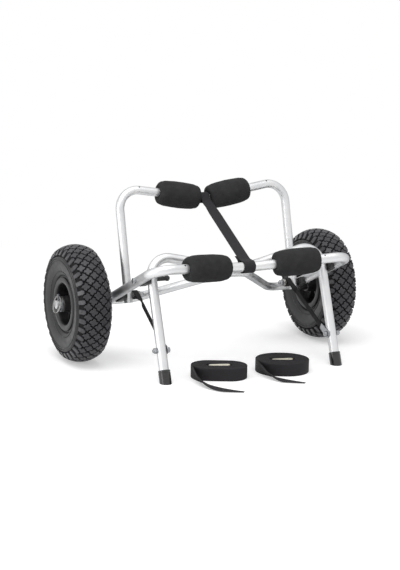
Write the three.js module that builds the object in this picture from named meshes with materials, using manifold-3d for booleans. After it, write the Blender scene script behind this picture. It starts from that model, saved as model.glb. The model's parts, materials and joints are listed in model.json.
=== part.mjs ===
// Folding kayak cart: two bent tube frames on a cranked axle tube, a kickstand, four foam pads,
// two balloon tyres on spoked rims, webbing stays and a pair of rolled tie-down straps.
// Millimetres, +Z up, +X across the cart, -Y towards the kickstand.

import * as THREE from 'three';
import { mergeVertices } from 'three/addons/utils/BufferGeometryUtils.js';
import Module from 'manifold-3d';

const wasm = await Module();
wasm.setup();

// Clearances
const gap = 0.3;
const weldDistance = 0.0001;
const overrun = 6;

// Round sections
const tubeSides = 12;
const boltSides = 12;
const bendStep = THREE.MathUtils.degToRad(17);

// Wheels
const tyreDiameter = 260;
const tyreWidth = 85;
const treadDepth = 4.5;
const treadWidth = 74;
const treadPitches = 24;
const treadHalfRows = 3;
const blockLand_share = 0.76;
const crownRadius = 62;
const beadToeInset = 7;
const sidewall_shares = [[0.985, 0.655], [1, 0.53], [0.94, 0.36], [0.8, 0.225], [0.68, 0.14]];
const liner_shares = [[0.77, 0.36], [0.72, 0.68]];
const rimFlangeDiameter = 125;
const rimSeatDiameter = 111;
const rimWellDiameter = 97;
const rimOpeningDiameter = 92;
const rimWidth = 55;
const rimFlangeThickness = 3;
const rimSeatWidth = 9;
const rimWellWidth = 22;
const rimLipDepth = 3;
const rimSegments = 20;
const spokeCount = 6;
const spokeThickness = 7;
const spokeHubDepth = 30;
const spokeRimDepth = 24;
const hubDiameter = 42;
const hubEndDiameter = 34;
const hubLength = 71.2;
const hubWaist_share = 0.3;
const hubSegments = 14;
const bushWall = 2.5;
const bushFlangeDiameter = 32;
const bushFlangeThickness = 2;
const valveDiameter = 7;
const valveLength = 17;
const valveFootDiameter = 12;
const valveFootThickness = 2;
const valveAcross = 14;

// Axle tube, cranked up and forward in the middle
const axleDiameter = 19;
const axleEndRecess = 1.5;
const crankInset = 36;
const crankHalfWidth = 28.7;
const crankForward = 150;
const crankRise = 73.6;
const crankBendRadius = 54;
const collarDiameter = 27;
const collarLength = 23.5;
const axleWasherDiameter = 33;
const axleWasherThickness = 2;
const lockPinDiameter = 5;
const lockPinInset = 6;
const lockPinOverhang = 5;
const lockHeadWidth = 8;
const lockHeadDepth = 6;
const lockHeadHeight = 9;
const lockRingDiameter = 38;
const lockRingWire = 2.8;
const lockRingTilt = THREE.MathUtils.degToRad(13);
const lockRingSteps = 16;
const wireSides = 6;

// Front frame: two arms from the axle and a shallow V bar
const frontDiameter = 21;
const frontHalfWidth = 237;
const frontReach = 286.5;
const frontBarDip = 38.7;
const frontBendRadius = 40;
const frontRise = THREE.MathUtils.degToRad(23.8);
const copeReach_share = 0.35;

// Rear frame: legs pivot low down on the arms and carry the higher V bar
const rearDiameter = 19;
const legInset = 28.5;
const rearReach = 238.1;
const rearBarDip = 33.2;
const rearTail = 17;
const rearBendRadius = 43;
const rearPivotForward = 52;
const rearPivotRise = 20;
const rearLean = THREE.MathUtils.degToRad(14.25);

// Kickstand: legs down to the ground, V bar just above its pivot
const kickDiameter = 21;
const kickReach = 53.7;
const kickBarDip = 47.6;
const kickBendRadius = 40;
const kickPivotForward = 179;
const kickPivotRise = 79;
const kickLean = THREE.MathUtils.degToRad(19.8);
const middleBendRadius = 60;
const tubeMouthDepth = 14;
const tubeWall = 1.8;

// Locating holes on top of both V bars
const tubeHoleDiameter = 4;
const tubeHoleDepth = 2.5;
const frontHoleAcross = 168.7;
const rearHoleAcross = 160;

// Rubber feet
const footCapDiameter = 26;
const footCapHeight = 28;
const footSole = 6;

// Foam pads, barrel shaped
const padDiameter = 60;
const padEndDiameter = 53;
const padEdgeRadius = 9;
const padEdgeSteps = 3;
const padEndDish = 2;
const padSegments = 15;
const padCrown_shares = [-0.5, 0, 0.5];
const rearPads = { left: [15.4, 113.5], right: [9.6, 109.8] };
const frontPads = { left: [57.9, 163], right: [55.3, 157] };

// Pivot hardware
const boltDiameter = 8;
const headAcrossFlats = 13;
const headThickness = 5.5;
const nutThickness = 6.5;
const threadOverhang = 2.5;
const rearSleeveDiameter = 16;
const rearSleeveLength = 18;
const kickSleeveDiameter = 10;
const kickSleeveLength = 20;
const blockLength = 42;
const blockDrop = 11;
const blockRise = 6;
const blockWrap = 5.5;
const blockCornerRadius = 9;

// Webbing stays between the rear pivot and the kickstand legs
const stayWidth = 12;
const stayThickness = 2;
const stayBoltReach = 152;
const stayLoopNeck = 24;
const stayLoopCusp = 14;
const clipLength = 30;
const clipWidth = 18;
const clipThickness = 2;
const clipTipWidth = 12.6;
const staySteps = 12;
const stayTwist_share = 0.34;
const loopSteps = 5;

// Centre strap between the two V bars
const centreStrapWidth = 25;
const centreRearWidth = 18;
const centreRearAcross = -3.1;
const centreFrontAcross = -6;
const centreStrapThickness = 1.6;
const centreLoopNeck = 34;
const centreLoopCusp = 20;
const centreLoopEase = 1.3;
const centreSteps = 6;

// Rolled tie-down straps, each wound round its buckle with a loose tail
const tieWidth = 27;
const tieThickness = 1.3;
const tieTurns = 14;
const capSteps = 6;
const lastCapSteps = 3;
const rollHoleLength = 56;
const rollHoleWidth = 12;
const rollTurnAngle = THREE.MathUtils.degToRad(-26.4);
const tailSteps = 16;
const tailTaper = 38;
const tailTipWidth = 6;
const tailRestTilt = THREE.MathUtils.degToRad(8);
const leftRoll = {
  length: 122,
  width: 78,
  across: -80.4,
  forward: 249.4,
  tail: 169,
  fall: 54,
  hug: THREE.MathUtils.degToRad(38),
  bend: THREE.MathUtils.degToRad(16),
};
const rightRoll = {
  length: 118,
  width: 108,
  across: 71.4,
  forward: 254.4,
  tail: 151,
  fall: 73,
  hug: THREE.MathUtils.degToRad(52),
  bend: THREE.MathUtils.degToRad(1),
};
const buckleLength = 46;
const buckleHeight = 28;
const buckleSlotLength = 5;
const buckleSlotHeight = 20;
const buckleSlotAcross = 11;

// Worked out from the driving dimensions
const quarterTurn = Math.PI / 2;
const axleHeight = tyreDiameter / 2;
const axleRadius = axleDiameter / 2;
const armInner = frontHalfWidth - frontDiameter / 2;
const armOuter = frontHalfWidth + frontDiameter / 2;
const legHalfWidth = frontHalfWidth - legInset;
const crankStart = legHalfWidth - crankInset;
const rearPivotHeight = axleHeight + rearPivotRise;
const kickPivotHeight = axleHeight + kickPivotRise;
const hubHalf = hubLength / 2;
const collarEnd = armOuter + gap + collarLength;
const wheelCentre = collarEnd + 2 * gap + hubHalf;
const flangeStart = wheelCentre + hubHalf + gap;
const washerStart = flangeStart + bushFlangeThickness + gap;
const pinPlace = washerStart + axleWasherThickness + gap + lockHeadDepth / 2;
const axleEnd = pinPlace + lockPinInset;
const boltRadius = boltDiameter / 2;
const headRadius = headAcrossFlats / 2 / Math.cos(Math.PI / 6);

function material(color, roughness, metalness) {
  return new THREE.MeshStandardMaterial({ color, roughness, metalness });
}

const brushedTube = material(0xd9dadb, 0.34, 0.9);
const brightSteel = material(0xc4c6c8, 0.25, 1);
const dullAlloy = material(0x9a9b9a, 0.5, 0.8);
const blackRubber = material(0x2e2d2f, 0.85, 0);
const blackPlastic = material(0x1b1b1c, 0.55, 0);
const foam = material(0x333334, 0.95, 0);
const webbing = material(0x2b2a2c, 0.9, 0);
const paleAlloy = material(0xcfcab9, 0.4, 0.6);

// A closed solid with shared vertices, ready for cutting and joining
function solidOf(geometry) {
  const bare = geometry.clone();
  bare.deleteAttribute('normal');
  bare.deleteAttribute('uv');
  const merged = mergeVertices(bare, weldDistance);
  return new wasm.Manifold(new wasm.Mesh({
    numProp: 3,
    vertProperties: new Float32Array(merged.attributes.position.array),
    triVerts: new Uint32Array(merged.index.array),
  }));
}

function geometryOf(solid) {
  const mesh = solid.getMesh();
  const geometry = new THREE.BufferGeometry();
  geometry.setAttribute('position', new THREE.BufferAttribute(mesh.vertProperties, 3));
  geometry.setIndex(new THREE.BufferAttribute(mesh.triVerts, 1));
  geometry.computeVertexNormals();
  return geometry;
}

function cut(geometry, ...tools) {
  return geometryOf(tools.reduce((solid, tool) => solid.subtract(solidOf(tool)), solidOf(geometry)));
}

function join(...geometries) {
  return geometryOf(geometries.map(solidOf).reduce((whole, piece) => whole.add(piece)));
}

// The same piece for the other side of the cart, with its faces still pointing out
function mirrored(geometry) {
  const copy = geometry.index ? geometry.toNonIndexed() : geometry.clone();
  copy.scale(-1, 1, 1);
  const position = copy.attributes.position;
  const corner = new THREE.Vector3();
  const other = new THREE.Vector3();
  for (let i = 0; i < position.count; i += 3) {
    corner.fromBufferAttribute(position, i + 1);
    other.fromBufferAttribute(position, i + 2);
    position.setXYZ(i + 1, other.x, other.y, other.z);
    position.setXYZ(i + 2, corner.x, corner.y, corner.z);
  }
  copy.computeVertexNormals();
  return copy;
}

// A rod along X between two places
function rod(radius, from, to, sides = boltSides) {
  const geometry = new THREE.CylinderGeometry(radius, radius, to - from, sides);
  geometry.rotateZ(-quarterTurn);
  geometry.translate((from + to) / 2, 0, 0);
  return geometry;
}

// A body turned about X from a closed outline of [place along X, radius] pairs
function turned(outline, segments) {
  const points = [...outline, outline[0]].map(([along, radius]) => new THREE.Vector2(radius, along));
  const geometry = new THREE.LatheGeometry(points, segments);
  geometry.rotateZ(-quarterTurn);
  return geometry;
}

function sleeve(inner, outer, from, to, segments = boltSides) {
  return turned([[from, inner], [from, outer], [to, outer], [to, inner]], segments);
}

// A curve through points made beforehand, square to the bisector at each of them
class BentPath extends THREE.Curve {
  constructor(points) {
    super();
    this.points = points;
  }

  getUtoTmapping(u) {
    return u;
  }

  getPoint(t, target = new THREE.Vector3()) {
    const place = t * (this.points.length - 1);
    const index = Math.min(Math.floor(place), this.points.length - 2);
    return target.lerpVectors(this.points[index], this.points[index + 1], place - index);
  }

  getTangent(t, target = new THREE.Vector3()) {
    const last = this.points.length - 1;
    const index = Math.round(t * last);
    const before = this.points[Math.max(index - 1, 0)];
    const here = this.points[index];
    const after = this.points[Math.min(index + 1, last)];
    const ahead = new THREE.Vector3().subVectors(after, here).normalize();
    return target.subVectors(here, before).normalize().add(ahead).normalize();
  }
}

// Points along a route of straight runs whose inner corners are bent to the given radii
function bentRoute(corners, radii) {
  const points = [corners[0].clone()];
  for (let i = 1; i < corners.length - 1; i += 1) {
    const back = corners[i - 1].clone().sub(corners[i]).normalize();
    const ahead = corners[i + 1].clone().sub(corners[i]).normalize();
    const turn = Math.PI - back.angleTo(ahead);
    const toCentre = back.clone().add(ahead).normalize();
    const centre = corners[i].clone().addScaledVector(toCentre, radii[i - 1] / Math.cos(turn / 2));
    const tangent = radii[i - 1] * Math.tan(turn / 2);
    const start = corners[i].clone().addScaledVector(back, tangent).sub(centre);
    const axis = new THREE.Vector3().crossVectors(back, ahead).normalize().negate();
    const steps = Math.max(2, Math.ceil(turn / bendStep));
    for (let j = 0; j <= steps; j += 1) {
      points.push(start.clone().applyAxisAngle(axis, turn * j / steps).add(centre));
    }
  }
  points.push(corners[corners.length - 1].clone());
  return points;
}

function tubeAlong(points, diameter, sides = tubeSides) {
  const section = new THREE.Shape();
  section.absarc(0, 0, diameter / 2, 0, 2 * Math.PI);
  const extrudePath = new BentPath(points);
  const steps = points.length - 1;
  return new THREE.ExtrudeGeometry(section, { steps, curveSegments: sides / 2, extrudePath });
}

// A body through rings of four corners each, with flat ends
function lofted(rings) {
  const size = rings[0].length;
  const index = [];
  for (let i = 0; i < rings.length - 1; i += 1) {
    for (let j = 0; j < size; j += 1) {
      const a = i * size + j;
      const b = i * size + (j + 1) % size;
      index.push(a, b, a + size, b, b + size, a + size);
    }
  }
  const last = (rings.length - 1) * size;
  for (let j = 1; j < size - 1; j += 1) {
    index.push(0, j + 1, j, last, last + j, last + j + 1);
  }
  const geometry = new THREE.BufferGeometry();
  geometry.setFromPoints(rings.flat());
  geometry.setIndex(index);
  geometry.computeVertexNormals();
  return geometry;
}

// Scene graph: one group for each assembly, all under the cart
const cart = new THREE.Group();
const frontGroup = new THREE.Group();
const rearGroup = new THREE.Group();
const kickGroup = new THREE.Group();
const axleGroup = new THREE.Group();
cart.add(frontGroup, rearGroup, kickGroup, axleGroup);
axleGroup.position.z = axleHeight;
frontGroup.position.set(0, 0, axleHeight);
frontGroup.rotation.x = quarterTurn - frontRise;
rearGroup.position.set(0, -rearPivotForward, rearPivotHeight);
rearGroup.rotation.x = -rearLean;
kickGroup.position.set(0, -kickPivotForward, kickPivotHeight);
kickGroup.rotation.x = -kickLean;

function add(group, name, geometry, finish) {
  const mesh = new THREE.Mesh(geometry, finish);
  mesh.name = name;
  group.add(mesh);
  return mesh;
}

// The piece drawn for the right side, and its mirror image on the left
function addPair(group, name, geometry, finish) {
  add(group, `${name}_right`, geometry, finish);
  add(group, `${name}_left`, mirrored(geometry), finish);
}

// U frames drawn flat: legs up Z from their start, then a V bar whose middle dips
function frameTube({ diameter, halfWidth, start, reach, middleReach, bendRadius }) {
  const corners = [
    new THREE.Vector3(-halfWidth, 0, start),
    new THREE.Vector3(-halfWidth, 0, reach),
    new THREE.Vector3(0, 0, middleReach),
    new THREE.Vector3(halfWidth, 0, reach),
    new THREE.Vector3(halfWidth, 0, start),
  ];
  return tubeAlong(bentRoute(corners, [bendRadius, middleBendRadius, bendRadius]), diameter);
}

const barSlope = ({ halfWidth, reach, middleReach }) => Math.atan2(reach - middleReach, halfWidth);
const barHeight = (frame, across) => frame.middleReach + across * Math.tan(barSlope(frame));

const frontFrame = {
  diameter: frontDiameter,
  halfWidth: frontHalfWidth,
  start: axleRadius * copeReach_share,
  reach: frontReach,
  middleReach: frontReach - frontBarDip,
  bendRadius: frontBendRadius,
};
const rearFrame = {
  diameter: rearDiameter,
  halfWidth: legHalfWidth,
  start: -rearTail,
  reach: rearReach,
  middleReach: rearReach - rearBarDip,
  bendRadius: rearBendRadius,
};
const footDrop = kickPivotHeight / Math.cos(kickLean);
const kickFrame = {
  diameter: kickDiameter,
  halfWidth: legHalfWidth,
  start: footSole - footDrop,
  reach: kickReach,
  middleReach: kickReach - kickBarDip,
  bendRadius: kickBendRadius,
};

// A blind hole drilled straight down into the top of a V bar
function topHole(frame, across, side, turn) {
  const radius = tubeHoleDiameter / 2;
  const hole = new THREE.CylinderGeometry(radius, radius, frame.diameter, boltSides);
  hole.rotateX(quarterTurn);
  hole.translate(0, 0, frame.diameter - tubeHoleDepth);
  hole.rotateX(-turn);
  hole.translate(side * across, 0, barHeight(frame, across));
  return hole;
}

function crossHole(diameter, side, centre, halfLength, y, z) {
  const hole = rod(diameter / 2 + gap, side * centre - halfLength, side * centre + halfLength);
  hole.translate(0, y, z);
  return hole;
}

// The open mouth of a tube that ends square
function mouth(frame, side) {
  const radius = frame.diameter / 2 - tubeWall;
  const bore = new THREE.CylinderGeometry(radius, radius, tubeMouthDepth + overrun, tubeSides);
  bore.rotateX(quarterTurn);
  bore.translate(side * frame.halfWidth, 0, frame.start + (tubeMouthDepth - overrun) / 2);
  return bore;
}

// A pivot's place seen in the front frame's own plane, measured from the axle
function inFrontPlane(forward, height) {
  const point = new THREE.Vector3(0, -forward, height - axleHeight);
  return point.applyAxisAngle(new THREE.Vector3(1, 0, 0), -frontGroup.rotation.x);
}

function makeFrontFrame() {
  const rearPivot = inFrontPlane(rearPivotForward, rearPivotHeight);
  const kickPivot = inFrontPlane(kickPivotForward, kickPivotHeight);
  const tools = [rod((axleRadius + gap) / Math.cos(Math.PI / tubeSides), -axleEnd, axleEnd, tubeSides)];
  for (const side of [-1, 1]) {
    tools.push(crossHole(boltDiameter, side, frontHalfWidth, frontDiameter, rearPivot.y, rearPivot.z));
    tools.push(crossHole(boltDiameter, side, frontHalfWidth, frontDiameter, kickPivot.y, kickPivot.z));
    tools.push(topHole(frontFrame, frontHoleAcross, side, frontGroup.rotation.x));
  }
  add(frontGroup, 'front_frame', cut(frameTube(frontFrame), ...tools), brushedTube);
}

function makeRearFrame() {
  const tools = [];
  for (const side of [-1, 1]) {
    tools.push(crossHole(boltDiameter, side, legHalfWidth, rearDiameter, 0, 0));
    tools.push(mouth(rearFrame, side));
    tools.push(topHole(rearFrame, rearHoleAcross, side, 0));
  }
  add(rearGroup, 'rear_frame', cut(frameTube(rearFrame), ...tools), brushedTube);
}

function makeKickstand() {
  const tools = [];
  for (const side of [-1, 1]) {
    tools.push(crossHole(boltDiameter, side, legHalfWidth, kickDiameter, 0, 0));
    tools.push(crossHole(boltDiameter, side, legHalfWidth, kickDiameter, 0, -stayBoltReach));
  }
  add(kickGroup, 'kickstand', cut(frameTube(kickFrame), ...tools), brushedTube);
}

// Axle tube: straight at both ends through arms and wheels, cranked forward and up between them
function makeAxleTube() {
  const corners = [
    new THREE.Vector3(-axleEnd, 0, 0),
    new THREE.Vector3(-crankStart, 0, 0),
    new THREE.Vector3(-crankHalfWidth, -crankForward, crankRise),
    new THREE.Vector3(crankHalfWidth, -crankForward, crankRise),
    new THREE.Vector3(crankStart, 0, 0),
    new THREE.Vector3(axleEnd, 0, 0),
  ];
  const radii = [crankBendRadius, crankBendRadius, crankBendRadius, crankBendRadius];
  const tools = [];
  for (const side of [-1, 1]) {
    const recess = rod(axleRadius - tubeWall, -axleEndRecess, axleEndRecess);
    recess.translate(side * axleEnd, 0, 0);
    const pinRadius = lockPinDiameter / 2 + gap;
    const pinHole = new THREE.CylinderGeometry(pinRadius, pinRadius, axleDiameter + overrun, boltSides);
    pinHole.rotateX(quarterTurn);
    pinHole.translate(side * pinPlace, 0, 0);
    tools.push(recess, pinHole);
  }
  const tube = cut(tubeAlong(bentRoute(corners, radii), axleDiameter), ...tools);
  add(axleGroup, 'axle_tube', tube, brushedTube);
}

makeFrontFrame();
makeRearFrame();
makeKickstand();
makeAxleTube();

// Tyre: staggered diamond blocks over a round crown, sidewalls, beads and an open inside
function makeTyre() {
  const crown = tyreDiameter / 2;
  const halfStep = Math.PI / treadPitches;
  const seat = (rimSeatDiameter / 2 + gap) / Math.cos(halfStep);
  const rowStep = treadWidth / 2 / treadHalfRows;
  const phase = -blockLand_share * halfStep;
  const corners = [];
  const crownAt = (across) => crown - crownRadius + Math.sqrt(crownRadius ** 2 - across ** 2);
  const place = ([across, angle], radius) => {
    const turn = angle * halfStep + phase;
    return new THREE.Vector3(across, -radius * Math.sin(turn), -radius * Math.cos(turn));
  };
  const raiseBlock = (nodes) => {
    const middle = [0, 1].map((axis) => nodes.reduce((sum, node) => sum + node[axis], 0) / nodes.length);
    const lands = nodes.map((node) => node.map((value, axis) => (
      middle[axis] + (value - middle[axis]) * blockLand_share)));
    const low = nodes.map((node) => place(node, crownAt(node[0]) - treadDepth));
    const high = lands.map((land) => place(land, crownAt(land[0])));
    nodes.forEach((_, i) => {
      const next = (i + 1) % nodes.length;
      corners.push(low[i], low[next], high[next], low[i], high[next], high[i]);
    });
    for (let i = 1; i < nodes.length - 1; i += 1) {
      corners.push(high[0], high[i], high[i + 1]);
    }
  };
  for (let pitch = 0; pitch < treadPitches; pitch += 1) {
    for (let row = 1 - treadHalfRows; row < treadHalfRows; row += 1) {
      const across = row * rowStep;
      const angle = 2 * pitch + Math.abs(row % 2);
      const sides = [[across + rowStep, angle], [across - rowStep, angle]];
      raiseBlock([sides[0], [across, angle + 1], sides[1], [across, angle - 1]]);
    }
    const edge = treadWidth / 2;
    const angle = 2 * pitch;
    raiseBlock([[edge, angle], [edge, angle + 2], [edge - rowStep, angle + 1]]);
    raiseBlock([[-edge, angle + 2], [-edge, angle], [rowStep - edge, angle + 1]]);
  }
  const height = crown - seat;
  const fromShares = ([width, rise]) => [width * tyreWidth / 2, seat + rise * height];
  const flangeInside = rimWidth / 2 - rimFlangeThickness - gap;
  const half = [
    [treadWidth / 2, crownAt(treadWidth / 2) - treadDepth],
    ...sidewall_shares.map(fromShares),
    [flangeInside, (rimFlangeDiameter / 2 + gap) / Math.cos(halfStep)],
    [flangeInside, seat],
    [flangeInside - beadToeInset, seat],
    ...liner_shares.map(fromShares),
  ];
  const outline = [...half, ...half.map(([across, radius]) => [-across, radius]).reverse()];
  for (let i = 0; i < outline.length - 1; i += 1) {
    for (let pitch = 0; pitch < treadPitches; pitch += 1) {
      const ring = [i, i + 1].map((index) => [0, 2].map((step) => (
        place([outline[index][0], 2 * pitch + step], outline[index][1]))));
      corners.push(ring[0][0], ring[1][0], ring[1][1], ring[0][0], ring[1][1], ring[0][1]);
    }
  }
  const geometry = new THREE.BufferGeometry().setFromPoints(corners);
  geometry.computeVertexNormals();
  return geometry;
}

// Open rim: a drop-centre barrel joined to its hub by deep flat spokes
function makeRim() {
  const edge = rimWidth / 2;
  const inside = edge - rimFlangeThickness;
  const barrelHalf = [
    [rimWellWidth / 2, rimWellDiameter / 2],
    [inside - rimSeatWidth, rimSeatDiameter / 2],
    [inside, rimSeatDiameter / 2],
    [inside, rimFlangeDiameter / 2],
    [edge, rimFlangeDiameter / 2],
    [edge, rimOpeningDiameter / 2 + gap],
    [edge - rimLipDepth, rimOpeningDiameter / 2],
  ];
  const otherHalf = barrelHalf.map(([along, radius]) => [-along, radius]).reverse();
  const barrel = turned([...otherHalf, ...barrelHalf], rimSegments);
  const bore = axleRadius + gap + bushWall + gap;
  const waist = hubHalf * hubWaist_share;
  const hub = turned([
    [-hubHalf, bore],
    [-hubHalf, hubEndDiameter / 2],
    [-waist, hubDiameter / 2],
    [waist, hubDiameter / 2],
    [hubHalf, hubEndDiameter / 2],
    [hubHalf, bore],
  ], hubSegments);
  const foot = (bore + hubDiameter / 2) / 2;
  const tip = (rimOpeningDiameter + rimWellDiameter) / 4;
  const web = new THREE.Shape([
    new THREE.Vector2(-spokeHubDepth / 2, foot),
    new THREE.Vector2(spokeHubDepth / 2, foot),
    new THREE.Vector2(spokeRimDepth / 2, tip),
    new THREE.Vector2(-spokeRimDepth / 2, tip),
  ]);
  const spokes = [];
  for (let i = 0; i < spokeCount; i += 1) {
    const spoke = new THREE.ExtrudeGeometry(web, { depth: spokeThickness, bevelEnabled: false });
    spoke.translate(0, 0, -spokeThickness / 2);
    spoke.rotateX(Math.PI * (2 * i + 1) / spokeCount);
    spokes.push(spoke);
  }
  return join(barrel, hub, ...spokes);
}

function makeValve() {
  const top = rimOpeningDiameter / 2 * Math.cos(Math.PI / rimSegments) - 2 * gap;
  const footRadius = valveFootDiameter / 2;
  const stemRadius = valveDiameter / 2;
  const foot = new THREE.CylinderGeometry(footRadius, footRadius, valveFootThickness, boltSides);
  foot.translate(0, top - valveFootThickness / 2, 0);
  const stem = new THREE.CylinderGeometry(stemRadius, stemRadius, valveLength, boltSides);
  stem.translate(0, top - valveFootThickness / 2 - valveLength / 2, 0);
  const valve = join(foot, stem);
  valve.translate(valveAcross, 0, 0);
  return valve;
}

function makeWheels() {
  const bushBore = axleRadius + gap;
  const bush = bushBore + bushWall;
  const pieces = {
    tyre: [makeTyre(), blackRubber],
    wheel_rim: [makeRim(), blackPlastic],
    valve_stem: [makeValve(), blackRubber],
    hub_bush: [turned([
      [-hubHalf - gap, bushBore],
      [-hubHalf - gap, bush],
      [hubHalf + gap, bush],
      [hubHalf + gap, bushFlangeDiameter / 2],
      [hubHalf + gap + bushFlangeThickness, bushFlangeDiameter / 2],
      [hubHalf + gap + bushFlangeThickness, bushBore],
    ], hubSegments), dullAlloy],
  };
  for (const [name, [geometry, finish]] of Object.entries(pieces)) {
    add(axleGroup, `${name}_right`, geometry, finish).position.x = wheelCentre;
    add(axleGroup, `${name}_left`, mirrored(geometry), finish).position.x = -wheelCentre;
  }
}

// What keeps each wheel on the axle: collar, washer, cross pin and its snap-over wire ring
function makeAxleHardware() {
  const bore = axleRadius + gap;
  const collar = sleeve(bore, collarDiameter / 2, armOuter + gap, collarEnd);
  addPair(axleGroup, 'axle_collar', collar, blackPlastic);
  const washerEnd = washerStart + axleWasherThickness;
  const washer = sleeve(bore, axleWasherDiameter / 2, washerStart, washerEnd, hubSegments);
  addPair(axleGroup, 'axle_washer', washer, brightSteel);

  const reach = axleRadius + lockPinOverhang;
  const pinRadius = lockPinDiameter / 2;
  const shank = new THREE.CylinderGeometry(pinRadius, pinRadius, 2 * reach + gap, boltSides);
  shank.rotateX(quarterTurn);
  const head = new THREE.BoxGeometry(lockHeadDepth, lockHeadWidth, lockHeadHeight);
  head.translate(0, 0, reach + lockHeadHeight / 2);
  const pin = join(shank, head);
  pin.translate(pinPlace, 0, 0);
  addPair(axleGroup, 'lock_pin', pin, brightSteel);

  const ringRadius = lockRingDiameter / 2;
  const opening = Math.asin((lockHeadWidth / 2 + 2 * gap) / ringRadius);
  const hinge = ringRadius * Math.cos(opening);
  const points = [];
  for (let i = 0; i <= lockRingSteps; i += 1) {
    const angle = opening + (2 * Math.PI - 2 * opening) * i / lockRingSteps;
    points.push(new THREE.Vector3(0, ringRadius * Math.sin(angle), ringRadius * Math.cos(angle) - hinge));
  }
  const ring = tubeAlong(points, lockRingWire, wireSides);
  ring.rotateY(-lockRingTilt);
  ring.translate(pinPlace, 0, hinge);
  addPair(axleGroup, 'lock_ring', ring, brightSteel);
}

// Foam pad: a barrel with rounded ends, slipped over a straight stretch of the bar
function makePad(frame, start, end) {
  const slope = barSlope(frame);
  const half = (end - start) / 2 / Math.cos(slope);
  const edgeRadius = padEndDiameter / 2;
  const bore = frame.diameter / 2 + gap;
  const rounded = [];
  for (let i = 0; i <= padEdgeSteps; i += 1) {
    const angle = quarterTurn * i / padEdgeSteps;
    rounded.push([
      half - padEdgeRadius + padEdgeRadius * Math.sin(angle),
      edgeRadius - padEdgeRadius + padEdgeRadius * Math.cos(angle),
    ]);
  }
  const crown = padCrown_shares.map((share) => (
    [share * half, edgeRadius + (padDiameter - padEndDiameter) / 2 * (1 - share ** 2)]));
  const nearEnd = rounded.map(([along, radius]) => [-along, radius]).reverse();
  const pad = turned([
    [padEndDish - half, bore], ...nearEnd, ...crown, ...rounded, [half - padEndDish, bore],
  ], padSegments);
  pad.rotateY(-slope);
  const centre = (start + end) / 2;
  pad.translate(centre, 0, barHeight(frame, centre));
  return pad;
}

function addPads(group, name, frame, { left, right }) {
  add(group, `${name}_right`, makePad(frame, ...right), foam);
  add(group, `${name}_left`, mirrored(makePad(frame, ...left)), foam);
}

// Rubber foot: a cup round the leg's end, its sole cut level with the ground
function makeFootCap() {
  const bore = kickDiameter / 2 + gap;
  const radius = footCapDiameter / 2;
  const depth = radius * Math.tan(kickLean);
  const cap = turned([
    [-footDrop - 2 * depth, 0],
    [-footDrop - 2 * depth, radius],
    [footCapHeight - footDrop, radius],
    [footCapHeight - footDrop, bore],
    [footSole - gap - footDrop, bore],
    [footSole - gap - footDrop, 0],
  ], hubSegments);
  cap.rotateY(-quarterTurn);
  const ground = new THREE.BoxGeometry(4 * radius, 4 * radius, 4 * radius);
  ground.translate(0, 0, -2 * radius);
  ground.rotateX(kickLean);
  ground.translate(0, 0, -footDrop);
  const foot = cut(cap, ground);
  foot.translate(legHalfWidth, 0, 0);
  return foot;
}

// A flat outline in the YZ plane given a thickness along X
const acrossCart = new THREE.Matrix4().makeBasis(
  new THREE.Vector3(0, 1, 0), new THREE.Vector3(0, 0, 1), new THREE.Vector3(1, 0, 0));

function plate(shape, from, to, curveSegments = padEdgeSteps) {
  const depth = to - from;
  const geometry = new THREE.ExtrudeGeometry(shape, { depth, bevelEnabled: false, curveSegments });
  geometry.applyMatrix4(acrossCart);
  geometry.translate(from, 0, 0);
  return geometry;
}

function hexNut(from, to, boreRadius) {
  const blank = rod(headRadius, from, to, 6);
  return cut(blank, rod(boreRadius, from - overrun, to + overrun));
}

function bolt(headFrom, headTo, shankFrom, shankTo) {
  return join(rod(headRadius, headFrom, headTo, 6), rod(boltRadius, shankFrom, shankTo));
}

// Spacer block between an arm and a leg, hollowed where it hugs the arm
function spacerBlock(from, pivot) {
  const half = blockLength / 2;
  const r = blockCornerRadius;
  const shape = new THREE.Shape();
  shape.moveTo(-blockDrop, r - half);
  shape.absarc(r - blockDrop, r - half, r, Math.PI, 3 * quarterTurn, false);
  shape.lineTo(blockRise, -half);
  shape.lineTo(blockRise, half);
  shape.absarc(r - blockDrop, half - r, r, quarterTurn, Math.PI, false);
  const block = plate(shape, from, armInner + blockWrap);
  block.translate(0, pivot.y, pivot.z);
  const armBore = frontDiameter / 2 + gap;
  const armLength = blockLength + 2 * overrun;
  const arm = new THREE.CylinderGeometry(armBore, armBore, armLength, 2 * tubeSides);
  arm.rotateX(quarterTurn);
  arm.translate(frontHalfWidth, 0, pivot.z);
  const hole = rod(boltRadius + gap, from - overrun, armOuter + overrun);
  hole.translate(0, pivot.y, pivot.z);
  return cut(block, arm, hole);
}

// Everything threaded on a pivot bolt from the arm's outer face to its nut
function makePivot(name, pivot) {
  const group = new THREE.Group();
  group.position.set(0, -pivot.forward, pivot.height);
  cart.add(group);
  const sleeveEnd = legHalfWidth - pivot.legDiameter / 2 - 2 * gap;
  const sleeveStart = sleeveEnd - pivot.sleeveLength;
  const nutEnd = sleeveStart - gap;
  const nutStart = nutEnd - nutThickness;
  const bore = boltRadius + gap;
  const headStart = armOuter + gap;
  const screw = bolt(headStart, headStart + headThickness, nutStart - threadOverhang, headStart + gap);
  addPair(group, `${name}_pivot_bolt`, screw, brightSteel);
  addPair(group, `${name}_pivot_nut`, hexNut(nutStart, nutEnd, bore), pivot.nutFinish);
  const tube = sleeve(bore, pivot.sleeveDiameter / 2, sleeveStart, sleeveEnd);
  addPair(group, `${name}_pivot_sleeve`, tube, pivot.sleeveFinish);
  const blockStart = legHalfWidth + pivot.legDiameter / 2 + gap;
  const block = spacerBlock(blockStart, inFrontPlane(pivot.forward, pivot.height));
  addPair(frontGroup, `${name}_pivot_block`, block, blackPlastic);
}

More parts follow.
